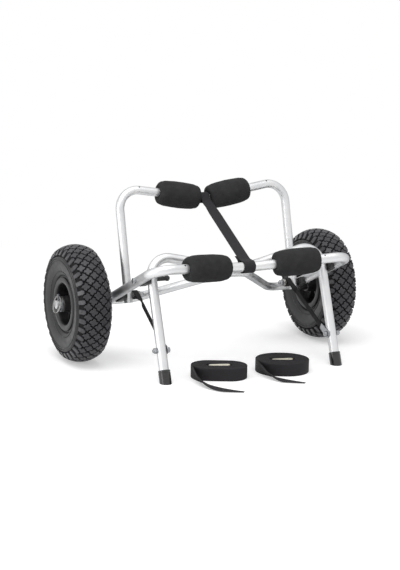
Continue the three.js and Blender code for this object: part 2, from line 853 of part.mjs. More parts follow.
// A webbing loop round a rod at the origin, sewn double along its neck towards +Y; +Z is its top side
function webLoop(innerRadius, thickness, cusp, neck) {
  const outerRadius = innerRadius + thickness;
  const wrapEnd = 2 * Math.atan2(innerRadius, cusp) - quarterTurn;
  const hole = new THREE.Path();
  hole.moveTo(cusp, innerRadius);
  hole.lineTo(0, innerRadius);
  hole.absarc(0, 0, innerRadius, quarterTurn, wrapEnd + 2 * Math.PI, false);
  const shape = new THREE.Shape();
  shape.moveTo(neck, outerRadius);
  shape.lineTo(0, outerRadius);
  shape.absarc(0, 0, outerRadius, quarterTurn, wrapEnd + 2 * Math.PI, false);
  const seam = innerRadius - thickness;
  const rise = (seam - outerRadius * Math.sin(wrapEnd)) / Math.cos(wrapEnd);
  shape.lineTo(outerRadius * Math.cos(wrapEnd) - rise * Math.sin(wrapEnd), seam);
  shape.lineTo(neck, seam);
  shape.holes.push(hole);
  return shape;
}

// Turns a loop drawn by webLoop so that its neck points along a heading in the YZ plane
function placeLoop(shape, from, to, heading, topSide, centre) {
  const loop = plate(shape, from, to, loopSteps);
  if (topSide < 0) {
    loop.rotateZ(Math.PI);
    loop.rotateX(Math.PI);
    loop.translate(from + to, 0, 0);
  }
  loop.rotateX(heading);
  loop.translate(0, centre.x, centre.y);
  return loop;
}

// A flat band as rings of four corners: centre, direction of its width and direction of its thickness
function bandRing(centre, widthAxis, width, thickAxis, thickness) {
  return [[-1, -1], [1, -1], [1, 1], [-1, 1]].map(([w, t]) => centre.clone()
    .addScaledVector(widthAxis, w * width / 2)
    .addScaledVector(thickAxis, t * thickness / 2));
}

const yz = (y, z) => new THREE.Vector2(y, z);
const alongCart = (point, x) => new THREE.Vector3(x, point.x, point.y);

// Height of a loop's centre that suits the whole stretch of V bar inside it
function loopHeight(frame, across, width) {
  const slope = barSlope(frame);
  const lowest = middleBendRadius * (1 / Math.cos(slope) - 1);
  const highest = (Math.abs(across) + width / 2) * Math.tan(slope);
  return frame.middleReach + (lowest + highest) / 2;
}

// Centre strap: a loop on each bar and the run between them along their common top tangent
function makeCentreStrap() {
  const rearMiddle = loopHeight(rearFrame, centreRearAcross, centreRearWidth);
  const frontMiddle = loopHeight(frontFrame, centreFrontAcross, centreStrapWidth);
  const rear = yz(rearMiddle * Math.sin(rearLean) - rearPivotForward,
    rearPivotHeight + rearMiddle * Math.cos(rearLean));
  const front = yz(-frontMiddle * Math.cos(frontRise), axleHeight + frontMiddle * Math.sin(frontRise));
  const rearInner = rearDiameter / 2 + gap + centreLoopEase;
  const frontInner = frontDiameter / 2 + gap + centreLoopEase;
  const base = front.clone().sub(rear);
  const slip = Math.asin((rearInner - frontInner) / base.length());
  const along = base.clone().normalize().rotateAround(yz(0, 0), slip);
  const top = yz(along.y, -along.x);
  const heading = along.angle();
  const t = centreStrapThickness;
  const rearShape = webLoop(rearInner, t, centreLoopCusp, centreLoopNeck);
  const rearLoop = placeLoop(rearShape, -centreRearWidth / 2, centreRearWidth / 2, heading, -1, rear);
  rearLoop.translate(centreRearAcross, 0, 0);
  add(cart, 'centre_strap_rear_loop', rearLoop, webbing);
  const frontShape = webLoop(frontInner, t, centreLoopCusp, centreLoopNeck);
  const frontHalf = centreStrapWidth / 2;
  const frontLoop = placeLoop(frontShape, -frontHalf, frontHalf, heading + Math.PI, 1, front);
  frontLoop.translate(centreFrontAcross, 0, 0);
  add(cart, 'centre_strap_front_loop', frontLoop, webbing);

  const neck = centreLoopNeck + gap;
  const rearEnd = rear.clone().addScaledVector(top, rearInner + t / 2).addScaledVector(along, neck);
  const frontEnd = front.clone().addScaledVector(top, frontInner + t / 2).addScaledVector(along, -neck);
  const start = alongCart(rearEnd, centreRearAcross);
  const end = alongCart(frontEnd, centreFrontAcross);
  const rings = [];
  for (let i = 0; i <= centreSteps; i += 1) {
    const width = i === 0 ? centreRearWidth : centreStrapWidth;
    const centre = start.clone().lerp(end, i / centreSteps);
    rings.push(bandRing(centre, new THREE.Vector3(1, 0, 0), width, alongCart(top, 0), t));
  }
  add(cart, 'centre_strap_run', lofted(rings), webbing);
}

// Stays: a loop on each rear pivot sleeve, a run with a quarter twist, and an end clip on the kickstand leg
function makeStays() {
  const pivot = yz(-rearPivotForward, rearPivotHeight);
  const legBolt = yz(-kickPivotForward - stayBoltReach * Math.sin(kickLean),
    kickPivotHeight - stayBoltReach * Math.cos(kickLean));
  const along = legBolt.clone().sub(pivot).normalize();
  const top = yz(along.y, -along.x);
  const heading = along.angle();
  const inner = rearSleeveDiameter / 2 + gap;
  const loopOuterX = legHalfWidth - rearDiameter / 2 - 2 * gap;
  const loopInnerX = loopOuterX - stayWidth;
  const loopShape = webLoop(inner, stayThickness, stayLoopCusp, stayLoopNeck);
  addPair(cart, 'stay_loop', placeLoop(loopShape, loopInnerX, loopOuterX, heading, -1, pivot), webbing);

  const legInner = legHalfWidth - kickDiameter / 2;
  const legOuter = legHalfWidth + kickDiameter / 2;
  const clipOuter = legInner - gap;
  const clipInner = clipOuter - clipThickness;
  const bore = boltRadius + gap;
  const clipEnd = clipWidth / 2;
  const shape = new THREE.Shape();
  shape.moveTo(0, -clipEnd);
  shape.absarc(0, 0, clipEnd, -quarterTurn, quarterTurn, false);
  shape.lineTo(-clipLength, clipTipWidth / 2);
  shape.lineTo(-clipLength, -clipTipWidth / 2);
  const hole = new THREE.Path();
  hole.absarc(0, 0, bore, 0, 2 * Math.PI, false);
  shape.holes.push(hole);
  const clip = plate(shape, clipInner, clipOuter, boltSides / 2);
  clip.rotateX(heading);
  clip.translate(0, legBolt.x, legBolt.y);
  addPair(cart, 'stay_clip', clip, brightSteel);
  const headEnd = clipInner - gap;
  const nutStart = legOuter + gap;
  const screwEnd = nutStart + nutThickness + threadOverhang;
  const screw = bolt(headEnd - headThickness, headEnd, headEnd - gap, screwEnd);
  screw.translate(0, legBolt.x, legBolt.y);
  addPair(cart, 'stay_bolt', screw, brightSteel);
  const nut = hexNut(nutStart, nutStart + nutThickness, bore);
  nut.translate(0, legBolt.x, legBolt.y);
  addPair(cart, 'stay_nut', nut, brightSteel);

  const start = alongCart(pivot.clone().addScaledVector(top, inner + stayThickness / 2)
    .addScaledVector(along, stayLoopNeck + gap), (loopInnerX + loopOuterX) / 2);
  const clipStart = legBolt.clone().addScaledVector(along, -clipLength - gap);
  const end = alongCart(clipStart, (clipInner + clipOuter) / 2);
  const sideways = new THREE.Vector3(1, 0, 0);
  const upward = alongCart(top, 0);
  const runAxis = sideways.clone().cross(upward).negate();
  const rings = [];
  for (let i = 0; i <= staySteps; i += 1) {
    const turn = quarterTurn * THREE.MathUtils.smoothstep(i / staySteps, 0, stayTwist_share);
    const widthAxis = sideways.clone().applyAxisAngle(runAxis, -turn);
    const thickAxis = widthAxis.clone().cross(runAxis);
    const centre = start.clone().lerp(end, i / staySteps);
    rings.push(bandRing(centre, widthAxis, stayWidth, thickAxis, stayThickness));
  }
  addPair(cart, 'stay_strap', lofted(rings), webbing);
}

// Lower edge and leaning of a rolled strap as it winds round a long hole
function woundRows(roll) {
  const firstHalf = (rollHoleLength - rollHoleWidth) / 2;
  const lastHalf = (roll.length - roll.width) / 2;
  const firstRadius = (rollHoleWidth + tieThickness) / 2;
  const lastRadius = (roll.width - tieThickness) / 2;
  const last = (2 * tieTurns - 1) * (capSteps + 1) + lastCapSteps;
  const rows = [];
  for (let i = 0; i <= last; i += 1) {
    const cap = Math.floor(i / (capSteps + 1));
    const angle = Math.PI * (cap + (i % (capSteps + 1)) / capSteps) - quarterTurn;
    const radius = firstRadius + (lastRadius - firstRadius) * i / last;
    const half = firstHalf + (lastHalf - firstHalf) * i / last;
    const centre = cap % 2 === 0 ? half : -half;
    const edge = new THREE.Vector3(centre + radius * Math.cos(angle), radius * Math.sin(angle), 0);
    const outward = new THREE.Vector3(Math.cos(angle), Math.sin(angle), 0);
    rows.push({ edge, rise: new THREE.Vector3(0, 0, 1), outward, width: tieWidth });
  }
  return rows;
}

// The loose tail: its upper edge follows the roll a little further while the strap leans over and lies down
function tailRows(roll, exit) {
  const radius = (roll.width - tieThickness) / 2;
  const hugLength = roll.hug * radius;
  const step = roll.tail / tailSteps;
  const bearingAt = (travelled) => 3 * quarterTurn + (travelled < hugLength
    ? travelled / radius
    : roll.hug + roll.bend * (travelled - hugLength) / (roll.tail - hugLength));
  const foot = exit.clone();
  const rows = [];
  for (let i = 1; i <= tailSteps; i += 1) {
    const travelled = step * i;
    const course = bearingAt(travelled - step / 2);
    foot.add(new THREE.Vector3(step * Math.cos(course), step * Math.sin(course), 0));
    const bearing = bearingAt(travelled);
    const away = new THREE.Vector3(Math.sin(bearing), -Math.cos(bearing), 0);
    const lean = (quarterTurn - tailRestTilt) * THREE.MathUtils.smoothstep(travelled, 0, roll.fall);
    const left = Math.min(1, (roll.tail - travelled) / tailTaper);
    const width = tailTipWidth + (tieWidth - tailTipWidth) * left;
    const edge = foot.clone().addScaledVector(away, width * Math.sin(lean));
    edge.z = Math.sin(lean) * tieThickness / 2;
    const rise = away.clone().multiplyScalar(-Math.sin(lean)).setZ(Math.cos(lean));
    const outward = away.clone().multiplyScalar(Math.cos(lean)).setZ(Math.sin(lean));
    rows.push({ edge, rise, outward, width });
  }
  return rows;
}

function rolledStrap(roll) {
  const rows = woundRows(roll);
  return [...rows, ...tailRows(roll, rows[rows.length - 1].edge)];
}

// Least clear distance between a rolled strap and itself, measured at both its edges
function leastSelfGap(rows) {
  const nearby = capSteps + 2;
  let least = Infinity;
  const closest = new THREE.Vector3();
  for (const level of [0, 1]) {
    const points = rows.map(({ edge, rise, width }) => (
      edge.clone().addScaledVector(rise, level * width)));
    for (let i = 0; i < points.length; i += 1) {
      for (let j = 0; j < i - nearby; j += 1) {
        new THREE.Line3(points[j], points[j + 1]).closestPointToPoint(points[i], true, closest);
        least = Math.min(least, closest.distanceTo(points[i]) - tieThickness);
      }
    }
  }
  return least;
}

function makeStrapRoll(name, roll) {
  const rows = rolledStrap(roll);
  const length = rows.slice(1).reduce((sum, row, i) => sum + row.edge.distanceTo(rows[i].edge), 0);
  console.log(`${name}: strap ${length.toFixed(0)} mm, least self-gap ${leastSelfGap(rows).toFixed(2)} mm`);
  const rings = rows.map(({ edge, rise, outward, width }) => bandRing(
    edge.clone().addScaledVector(rise, width / 2), rise, width, outward, tieThickness));
  const group = new THREE.Group();
  group.position.set(roll.across, -roll.forward, 0);
  group.rotation.z = rollTurnAngle;
  cart.add(group);
  add(group, `strap_roll_${name}`, lofted(rings), webbing);

  const half = rollHoleWidth / 2 - gap;
  const reach = buckleLength / 2 - half;
  const outline = new THREE.Shape();
  outline.absarc(reach, 0, half, -quarterTurn, quarterTurn, false);
  outline.absarc(-reach, 0, half, quarterTurn, 3 * quarterTurn, false);
  const blank = new THREE.ExtrudeGeometry(outline, {
    depth: buckleHeight, bevelEnabled: false, curveSegments: padEdgeSteps,
  });
  const slots = [-1, 1].map((side) => {
    const slot = new THREE.BoxGeometry(buckleSlotLength, rollHoleWidth, buckleSlotHeight);
    slot.translate(side * buckleSlotAcross, 0, buckleHeight / 2);
    return slot;
  });
  const buckle = add(group, `cam_buckle_${name}`, cut(blank, ...slots), paleAlloy);
  buckle.position.y = rows[capSteps].edge.y - tieThickness / 2 - gap - half;
}

makeWheels();
makeAxleHardware();
addPads(frontGroup, 'front_pad', frontFrame, frontPads);
addPads(rearGroup, 'rear_pad', rearFrame, rearPads);
addPair(kickGroup, 'foot_cap', makeFootCap(), blackRubber);
makePivot('rear', {
  forward: rearPivotForward,
  height: rearPivotHeight,
  legDiameter: rearDiameter,
  sleeveDiameter: rearSleeveDiameter,
  sleeveLength: rearSleeveLength,
  sleeveFinish: dullAlloy,
  nutFinish: brightSteel,
});
makePivot('kick', {
  forward: kickPivotForward,
  height: kickPivotHeight,
  legDiameter: kickDiameter,
  sleeveDiameter: kickSleeveDiameter,
  sleeveLength: kickSleeveLength,
  sleeveFinish: blackPlastic,
  nutFinish: blackPlastic,
});
makeStays();
makeCentreStrap();
makeStrapRoll('left', leftRoll);
makeStrapRoll('right', rightRoll);

// The origin lies on the ground at the middle of the whole cart
cart.updateMatrixWorld(true);
const bounds = new THREE.Box3().setFromObject(cart, true);
cart.position.y = -(bounds.min.y + bounds.max.y) / 2;

export default cart;
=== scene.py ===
import json
import math

import bmesh
import bpy
from mathutils import Matrix, Vector, noise

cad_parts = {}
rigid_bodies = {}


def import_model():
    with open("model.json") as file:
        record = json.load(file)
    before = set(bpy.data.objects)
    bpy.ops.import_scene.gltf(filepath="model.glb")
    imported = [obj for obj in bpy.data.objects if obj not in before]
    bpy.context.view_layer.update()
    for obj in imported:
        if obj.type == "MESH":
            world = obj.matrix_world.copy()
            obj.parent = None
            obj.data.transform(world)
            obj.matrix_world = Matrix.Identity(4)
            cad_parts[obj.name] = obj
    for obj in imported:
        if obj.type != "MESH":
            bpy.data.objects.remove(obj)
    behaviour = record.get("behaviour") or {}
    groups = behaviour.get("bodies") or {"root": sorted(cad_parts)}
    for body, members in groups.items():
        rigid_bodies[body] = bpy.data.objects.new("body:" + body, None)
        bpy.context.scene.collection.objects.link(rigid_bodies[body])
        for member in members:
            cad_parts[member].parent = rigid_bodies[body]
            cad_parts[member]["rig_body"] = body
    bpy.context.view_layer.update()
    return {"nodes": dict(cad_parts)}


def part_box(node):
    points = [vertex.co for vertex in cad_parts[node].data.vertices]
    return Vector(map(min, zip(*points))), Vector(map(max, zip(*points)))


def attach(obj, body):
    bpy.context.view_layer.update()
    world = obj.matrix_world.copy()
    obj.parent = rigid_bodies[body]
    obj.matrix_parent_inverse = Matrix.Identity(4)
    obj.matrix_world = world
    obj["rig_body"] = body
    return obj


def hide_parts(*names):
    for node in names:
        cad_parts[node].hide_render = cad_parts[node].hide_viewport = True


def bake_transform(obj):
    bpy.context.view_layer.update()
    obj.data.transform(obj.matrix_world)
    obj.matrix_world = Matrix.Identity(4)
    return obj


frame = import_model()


def middle_of(node):
    """The middle of a right-hand node's box in the frame."""
    return sum(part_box(f"{node}_right"), Vector()) / 2


# Driving dimensions in metres; the wheel's place comes from the frame
MM = 0.001
WHEEL_CENTRE, *axle_place = middle_of("tyre")
AXLE = Vector((0, *axle_place))
GAP = 0.3 * MM

# Round things
TUBE_SIDES = 36
BEND_STEP = math.radians(5)
WHEEL_STEPS = 100
HARDWARE_STEPS = 36
FOOT_STEPS = 48
PAD_STEPS = 72
SHARP_ANGLE = math.radians(32)
EASED_ANGLE = math.radians(30)
SMALLEST_EDGE = 0.0001 * MM

# Frame tubes
FRONT_TUBE = 21 * MM
REAR_TUBE = 19 * MM
KICK_TUBE = 21 * MM
AXLE_TUBE = 19 * MM
TUBE_WALL = 1.8 * MM
MIDDLE_BEND = 60 * MM
FRONT_RISE = math.radians(23.8)
REAR_LEAN = math.radians(14.25)
KICK_LEAN = math.radians(19.8)
REAR_PIVOT = AXLE + Vector((0, -52 * MM, 20 * MM))
KICK_PIVOT = AXLE + Vector((0, -179 * MM, 79 * MM))
HOLE_DIAMETER = 4 * MM
HOLE_DEPTH = 12 * MM
HOLE_TILT = math.radians(34)
FRONT_HOLE_ACROSS = 168.7 * MM
REAR_HOLE_ACROSS = 160 * MM
REAR_MOUTH = 14 * MM

FRONT_FRAME = dict(
    diameter=FRONT_TUBE, half_width=237 * MM, start=3.3 * MM,
    reach=286.5 * MM, middle=247.8 * MM, bend=40 * MM,
)
REAR_FRAME = dict(
    diameter=REAR_TUBE, half_width=208.5 * MM, start=-17 * MM,
    reach=238.1 * MM, middle=204.9 * MM, bend=43 * MM,
)
FOOT_DROP = KICK_PIVOT.z / math.cos(KICK_LEAN)
FOOT_SOLE = 6 * MM
KICK_FRAME = dict(
    diameter=KICK_TUBE, half_width=208.5 * MM, start=FOOT_SOLE - FOOT_DROP,
    reach=53.7 * MM, middle=6.1 * MM, bend=40 * MM,
)

# Camera, fitted to the photograph's frame of 400 by 570 pixels
PHOTO_HEIGHT = 570
FOCAL_PIXELS = 1499.6
SENSOR = 36
CAMERA_AZIMUTH = math.radians(-26.396)
CAMERA_ELEVATION = math.radians(11.403)
CAMERA_ROLL = math.radians(0.97)
CAMERA_DISTANCE = 3.4319
CAMERA_TARGET = AXLE + Vector((-5.95 * MM, 0, 18.08 * MM))


def in_scene(name, data):
    made = bpy.data.objects.new(name, data)
    bpy.context.scene.collection.objects.link(made)
    return made


def place_camera():
    camera = in_scene("camera", bpy.data.cameras.new("camera"))
    camera.data.sensor_width = SENSOR
    camera.data.lens = FOCAL_PIXELS * SENSOR / PHOTO_HEIGHT
    level = math.cos(CAMERA_ELEVATION)
    back = Vector((
        math.sin(CAMERA_AZIMUTH) * level,
        -math.cos(CAMERA_AZIMUTH) * level,
        math.sin(CAMERA_ELEVATION),
    ))
    right = Vector((math.cos(CAMERA_AZIMUTH), math.sin(CAMERA_AZIMUTH), 0))
    axes = Matrix((right, back.cross(right), back)).transposed() @ Matrix.Rotation(CAMERA_ROLL, 3, "Z")
    camera.matrix_world = Matrix.Translation(CAMERA_TARGET + back * CAMERA_DISTANCE) @ axes.to_4x4()
    bpy.context.scene.camera = camera


place_camera()


# Material helpers
def linear(code):
    """An sRGB hex colour as the linear colour that Blender's sockets take."""
    shares = [int(code[i:i + 2], 16) / 255 for i in (1, 3, 5)]
    return [c / 12.92 if c <= 0.04045 else ((c + 0.055) / 1.055) ** 2.4 for c in shares] + [1]


def per(size):
    """How many times a pattern of this size in metres repeats in one metre."""
    return 1 / size


def add(tree, kind, links=None, **settings):
    """Adds a node. links maps each input to a value or to the output socket that feeds it."""
    made = tree.nodes.new(kind)
    for name, value in settings.items():
        setattr(made, name, value)
    for name, value in (links or {}).items():
        if isinstance(value, bpy.types.NodeSocket):
            tree.links.new(value, made.inputs[name])
        else:
            made.inputs[name].default_value = value
    return made


def start_material(name):
    material = bpy.data.materials.new(name)
    material.use_nodes = True
    tree = material.node_tree
    tree.nodes.clear()
    return material, tree


NOISE_DETAIL = 3.0
NOISE_MIDDLE = {"From Min": 0.3, "From Max": 0.7}


def finished(material, colour, roughness, height, depth, ior_level, metallic=0.0, edge_tint="#ffffff"):
    """The material, ended in one surface that a height pattern dents by a depth in metres."""
    tree = material.node_tree
    dents = add(tree, "ShaderNodeBump", {"Height": height, "Distance": depth, "Strength": 1.0})
    shader = add(tree, "ShaderNodeBsdfPrincipled", {
        "Base Color": colour,
        "Metallic": metallic,
        "Specular Tint": linear(edge_tint),
        "Roughness": roughness,
        "Normal": dents.outputs["Normal"],
    })
    shader.inputs["Specular IOR Level"].default_value = ior_level
    add(tree, "ShaderNodeOutputMaterial", {"Surface": shader.outputs[0]})
    return material


def clouded(name, size, colours, shines, grain, ior_level=0.5, **metal):
    """A finish whose colour and roughness drift together in clouds, over a bumped grain of (size, depth)."""
    material, tree = start_material(name)
    place = add(tree, "ShaderNodeTexCoord").outputs["Object"]
    grain_size, grain_depth = grain
    cloud, grit = (
        add(tree, "ShaderNodeTexNoise", {"Vector": place, "Scale": per(lump), "Detail": NOISE_DETAIL})
        for lump in (size, grain_size)
    )
    share, shine = (
        add(tree, "ShaderNodeMapRange", {
            "Value": cloud.outputs["Fac"], **NOISE_MIDDLE, "To Min": low, "To Max": high,
        })
        for low, high in ((0, 1), shines)
    )
    dark, light = (linear(code) for code in colours)
    links = {"Factor": share.outputs["Result"], "A": dark, "B": light}
    colour = add(tree, "ShaderNodeMix", links, data_type="RGBA").outputs["Result"]
    roughness = shine.outputs["Result"]
    return finished(material, colour, roughness, grit.outputs["Fac"], grain_depth, ior_level, **metal)


# Drawn 6061 aluminium, clear anodised: satin and pale, greyer where it turns away, clouded by handling
ALUMINIUM = clouded("satin_anodised_aluminium", 38 * MM, ("#d7d8d9", "#e2e2e3"), (0.4, 0.5),
                    (0.9 * MM, 0.02 * MM), metallic=1.0, edge_tint="#808083")

# Painted shade down the small drilled holes, the only place the tubes' insides are seen: a dark, dull grey
# that stands in for the shade inside them
HOLE_PAINTED_SHADE = clouded("painted_shade_in_drilled_holes", 3 * MM, ("#0c0c0c", "#171717"), (0.8, 0.8),
                      (3 * MM, 0.02 * MM), ior_level=0.2)

# Zinc plated steel: greyer and cooler than the tubes, with dull patches in the plating
STEEL = clouded("bright_zinc_plated_steel", 4 * MM, ("#8f9194", "#a9abae"), (0.3, 0.44),
                (0.6 * MM, 0.02 * MM), metallic=1.0)

# The same plating gone dull on the pins and washers, which road dirt reaches
DULL_STEEL = clouded("dulled_zinc_plated_steel", 3 * MM, ("#5a5c5f", "#77797c"), (0.36, 0.5),
                     (0.6 * MM, 0.03 * MM), metallic=1.0)

# Nickel plated spring wire of the snap rings: the brightest metal on the cart, with a soft milky shine
WIRE = clouded("nickel_plated_spring_wire", 2 * MM, ("#e2e2e0", "#f0f0ee"), (0.4, 0.5),
               (2 * MM, 0.01 * MM), metallic=0.65)

# Sintered bronze-grey alloy of the bushes and sleeves: dull, dry and faintly pitted
ALLOY = clouded("sintered_alloy", 0.7 * MM, ("#7d7c7a", "#a2a19e"), (0.42, 0.6),
                (0.7 * MM, 0.06 * MM), metallic=1.0)

# Die-cast zinc of the cam buckles, lacquered: pale and slightly warm, with a cast skin
CAST_ZINC = clouded("lacquered_cast_zinc", 1.6 * MM, ("#cdc8b4", "#e6e2d2"), (0.3, 0.48),
                    (1.6 * MM, 0.05 * MM), metallic=0.75)

# Tyre rubber down in the grooves: unworn and dull, and darker as painted shade for the shade that falls
# between the blocks
GROOVE_RUBBER_PAINTED_SHADE = clouded("groove_rubber_painted_shade", 5 * MM, ("#141415", "#212123"), (0.75, 0.9),
                        (5 * MM, 0.1 * MM), ior_level=0.2)

# Moulded black rubber of the feet and valves: nearly black, with a glossy streak where it faces the light
RUBBER = clouded("moulded_black_rubber", 5 * MM, ("#0b0b0c", "#151516"), (0.16, 0.28),
                 (0.9 * MM, 0.02 * MM), ior_level=0.75)

# Injection moulded polypropylene of the rims: satin dark grey where light grazes it
RIM_PLASTIC = clouded("moulded_polypropylene", 22 * MM, ("#131314", "#1c1c1e"), (0.36, 0.48),
                      (1.1 * MM, 0.05 * MM))

# Glass-filled nylon of the collars and spacer blocks: near black with a fine spark-eroded texture
NYLON = clouded("glass_filled_nylon", 0.8 * MM, ("#161617", "#202021"), (0.45, 0.6),
                (0.8 * MM, 0.08 * MM))


# Vulcanised tyre rubber: charcoal with a low shine on its worn lands, darker sidewalls, and shoulder lugs
# that are still glossy from the mould and drawn lighter, a painted sheen for the light they catch beside the
# tread
LAND_RADII = {"From Min": 103 * MM, "From Max": 107 * MM}
LUGS_FROM_MIDDLE = {"From Min": 28 * MM, "From Max": 34 * MM}
LUG_GLOSS = 0.14


def tyre_rubber():
    material, tree = start_material("vulcanised_tyre_rubber")
    place = add(tree, "ShaderNodeTexCoord").outputs["Object"]
    from_axle = add(tree, "ShaderNodeVectorMath", {0: place, 1: (0, AXLE.y, AXLE.z)}, operation="SUBTRACT")
    flat = add(tree, "ShaderNodeVectorMath", {0: from_axle.outputs[0], 1: (0, 1, 1)}, operation="MULTIPLY")
    radius = add(tree, "ShaderNodeVectorMath", {0: flat.outputs[0]}, operation="LENGTH").outputs["Value"]
    land = add(tree, "ShaderNodeMapRange", {"Value": radius, **LAND_RADII}).outputs["Result"]
    across = add(tree, "ShaderNodeSeparateXYZ", {"Vector": place}).outputs["X"]
    from_cart = add(tree, "ShaderNodeMath", {0: across}, operation="ABSOLUTE").outputs[0]
    off_middle = add(tree, "ShaderNodeMath", {0: from_cart, 1: WHEEL_CENTRE}, operation="SUBTRACT").outputs[0]
    from_middle = add(tree, "ShaderNodeMath", {0: off_middle}, operation="ABSOLUTE").outputs[0]
    beside = add(tree, "ShaderNodeMapRange", {"Value": from_middle, **LUGS_FROM_MIDDLE}).outputs["Result"]
    lug = add(tree, "ShaderNodeMath", {0: beside, 1: land}, operation="MULTIPLY").outputs[0]
    dust, grit = (
        add(tree, "ShaderNodeTexNoise", {"Vector": place, "Scale": per(lump), "Detail": NOISE_DETAIL})
        for lump in (7 * MM, 0.8 * MM)
    )
    links = {"Value": dust.outputs["Fac"], **NOISE_MIDDLE}
    mottle = add(tree, "ShaderNodeMapRange", links).outputs["Result"]
    dull = add(tree, "ShaderNodeMapRange", {**links, "To Min": 0.36, "To Max": 0.52}).outputs["Result"]
    sidewall, worn, painted_lug_sheen = (
        add(tree, "ShaderNodeMix", {
            "Factor": mottle, "A": linear(dark), "B": linear(light),
        }, data_type="RGBA").outputs["Result"]
        for dark, light in (("#18181a", "#232325"), ("#2b2a2e", "#39383c"), ("#373739", "#4a4a4d"))
    )
    # painted sheen: the lugs take a lighter colour that stands in for the light their shoulder faces catch
    links = {"Factor": lug, "A": worn, "B": painted_lug_sheen}
    tread = add(tree, "ShaderNodeMix", links, data_type="RGBA").outputs["Result"]
    links = {"Factor": land, "A": sidewall, "B": tread}
    colour = add(tree, "ShaderNodeMix", links, data_type="RGBA").outputs["Result"]
    gloss = add(tree, "ShaderNodeMath", {0: lug, 1: LUG_GLOSS}, operation="MULTIPLY").outputs[0]
    roughness = add(tree, "ShaderNodeMath", {0: dull, 1: gloss}, operation="SUBTRACT").outputs[0]
    return finished(material, colour, roughness, grit.outputs["Fac"], 0.08 * MM, ior_level=0.4)


# Closed-cell foam of the pads: matt charcoal with an open grain, drawn large so that it shows
FOAM_CELL = 1.4 * MM


def cell_foam():
    material, tree = start_material("closed_cell_foam")
    place = add(tree, "ShaderNodeTexCoord").outputs["Object"]
    links = {"Vector": place, "Scale": per(FOAM_CELL)}
    cells = add(tree, "ShaderNodeTexVoronoi", links).outputs["Distance"]
    links = {"Vector": place, "Scale": per(16 * MM), "Detail": NOISE_DETAIL}
    cloud = add(tree, "ShaderNodeTexNoise", links).outputs["Fac"]
    links = {"Value": cloud, **NOISE_MIDDLE, "To Min": -0.05, "To Max": 0.4}
    drift = add(tree, "ShaderNodeMapRange", links).outputs["Result"]
    links = {0: cells, 1: 0.55, 2: drift}
    shade = add(tree, "ShaderNodeMath", links, operation="MULTIPLY_ADD", use_clamp=True).outputs[0]
    links = {"Factor": shade, "A": linear("#29292a"), "B": linear("#3a3a3b")}
    colour = add(tree, "ShaderNodeMix", links, data_type="RGBA").outputs["Result"]
    return finished(material, colour, 0.95, cells, 0.22 * MM, ior_level=0.14)


# Woven polypropylene webbing, black and ribbed. Its threads are about half as fine as real so that they show,
# and the stays' webbing is darker, as painted shade for the shadow that the thin stays lie in.
THREAD = 1.5 * MM


def webbing_weave(name, dark, light):
    material, tree = start_material(name)
    flat = add(tree, "ShaderNodeUVMap", uv_map="flat").outputs["UV"]
    parts = add(tree, "ShaderNodeSeparateXYZ", {"Vector": flat}).outputs
    phases = (
        add(tree, "ShaderNodeMath", {0: parts[axis], 1: math.pi * per(THREAD)}, operation="MULTIPLY")
        for axis in "XY"
    )
    across, along = (
        add(tree, "ShaderNodeMath", {0: phase.outputs[0]}, operation="SINE").outputs[0] for phase in phases
    )
    over = add(tree, "ShaderNodeMath", {0: across, 1: along}, operation="MULTIPLY").outputs[0]
    round_ribs = add(tree, "ShaderNodeMath", {0: across}, operation="ABSOLUTE").outputs[0]
    ribs = add(tree, "ShaderNodeMath", {0: round_ribs, 1: 0.5}, operation="MULTIPLY").outputs[0]
    height = add(tree, "ShaderNodeMath", {0: over, 1: 0.35, 2: ribs}, operation="MULTIPLY_ADD").outputs[0]
    place = add(tree, "ShaderNodeTexCoord").outputs["Object"]
    wear, fuzz = (
        add(tree, "ShaderNodeTexNoise", {"Vector": place, "Scale": per(lump), "Detail": NOISE_DETAIL})
        for lump in (24 * MM, 0.9 * MM)
    )
    paler, roughness = (
        add(tree, "ShaderNodeMapRange", {
            "Value": wear.outputs["Fac"], **NOISE_MIDDLE, "To Min": low, "To Max": high,
        }).outputs["Result"]
        for low, high in ((0.05, 0.35), (0.68, 0.82))
    )
    links = {0: height, 1: 0.6, 2: paler}
    share = add(tree, "ShaderNodeMath", links, operation="MULTIPLY_ADD", use_clamp=True).outputs[0]
    links = {0: fuzz.outputs["Fac"], 1: 0.5, 2: height}
    fuzzy = add(tree, "ShaderNodeMath", links, operation="MULTIPLY_ADD").outputs[0]
    links = {"Factor": share, "A": linear(dark), "B": linear(light)}
    colour = add(tree, "ShaderNodeMix", links, data_type="RGBA").outputs["Result"]
    return finished(material, colour, roughness, fuzzy, 0.25 * MM, ior_level=0.25)


TYRE_RUBBER = tyre_rubber()
FOAM = cell_foam()
WEBBING = webbing_weave("woven_polypropylene_webbing", "#1d1c1e", "#333134")
# painted shade: the stays' webbing is drawn darker to stand in for the shadow they lie in
STAY_WEBBING_PAINTED_SHADE = webbing_weave("stay_webbing_painted_shade", "#080809", "#171618")


# Building helpers
def placed(origin, turn, axis="X"):
    """A place at an origin, turned about one axis."""
    return Matrix.Translation(origin) @ Matrix.Rotation(turn, 4, axis)


def in_mm(*pairs):
    return [(first * MM, second * MM) for first, second in pairs]


AT_AXLE = Matrix.Translation(AXLE)
AT_WHEEL = AT_AXLE @ Matrix.Translation((WHEEL_CENTRE, 0, 0))
AT_FRONT = placed(AXLE, math.pi / 2 - FRONT_RISE)
AT_REAR = placed(REAR_PIVOT, -REAR_LEAN)
AT_KICK = placed(KICK_PIVOT, -KICK_LEAN)
SIDES = (("right", 1), ("left", -1))


def mesh_of(bm, name="part"):
    mesh = bpy.data.meshes.new(name)
    bm.to_mesh(mesh)
    bm.free()
    return mesh


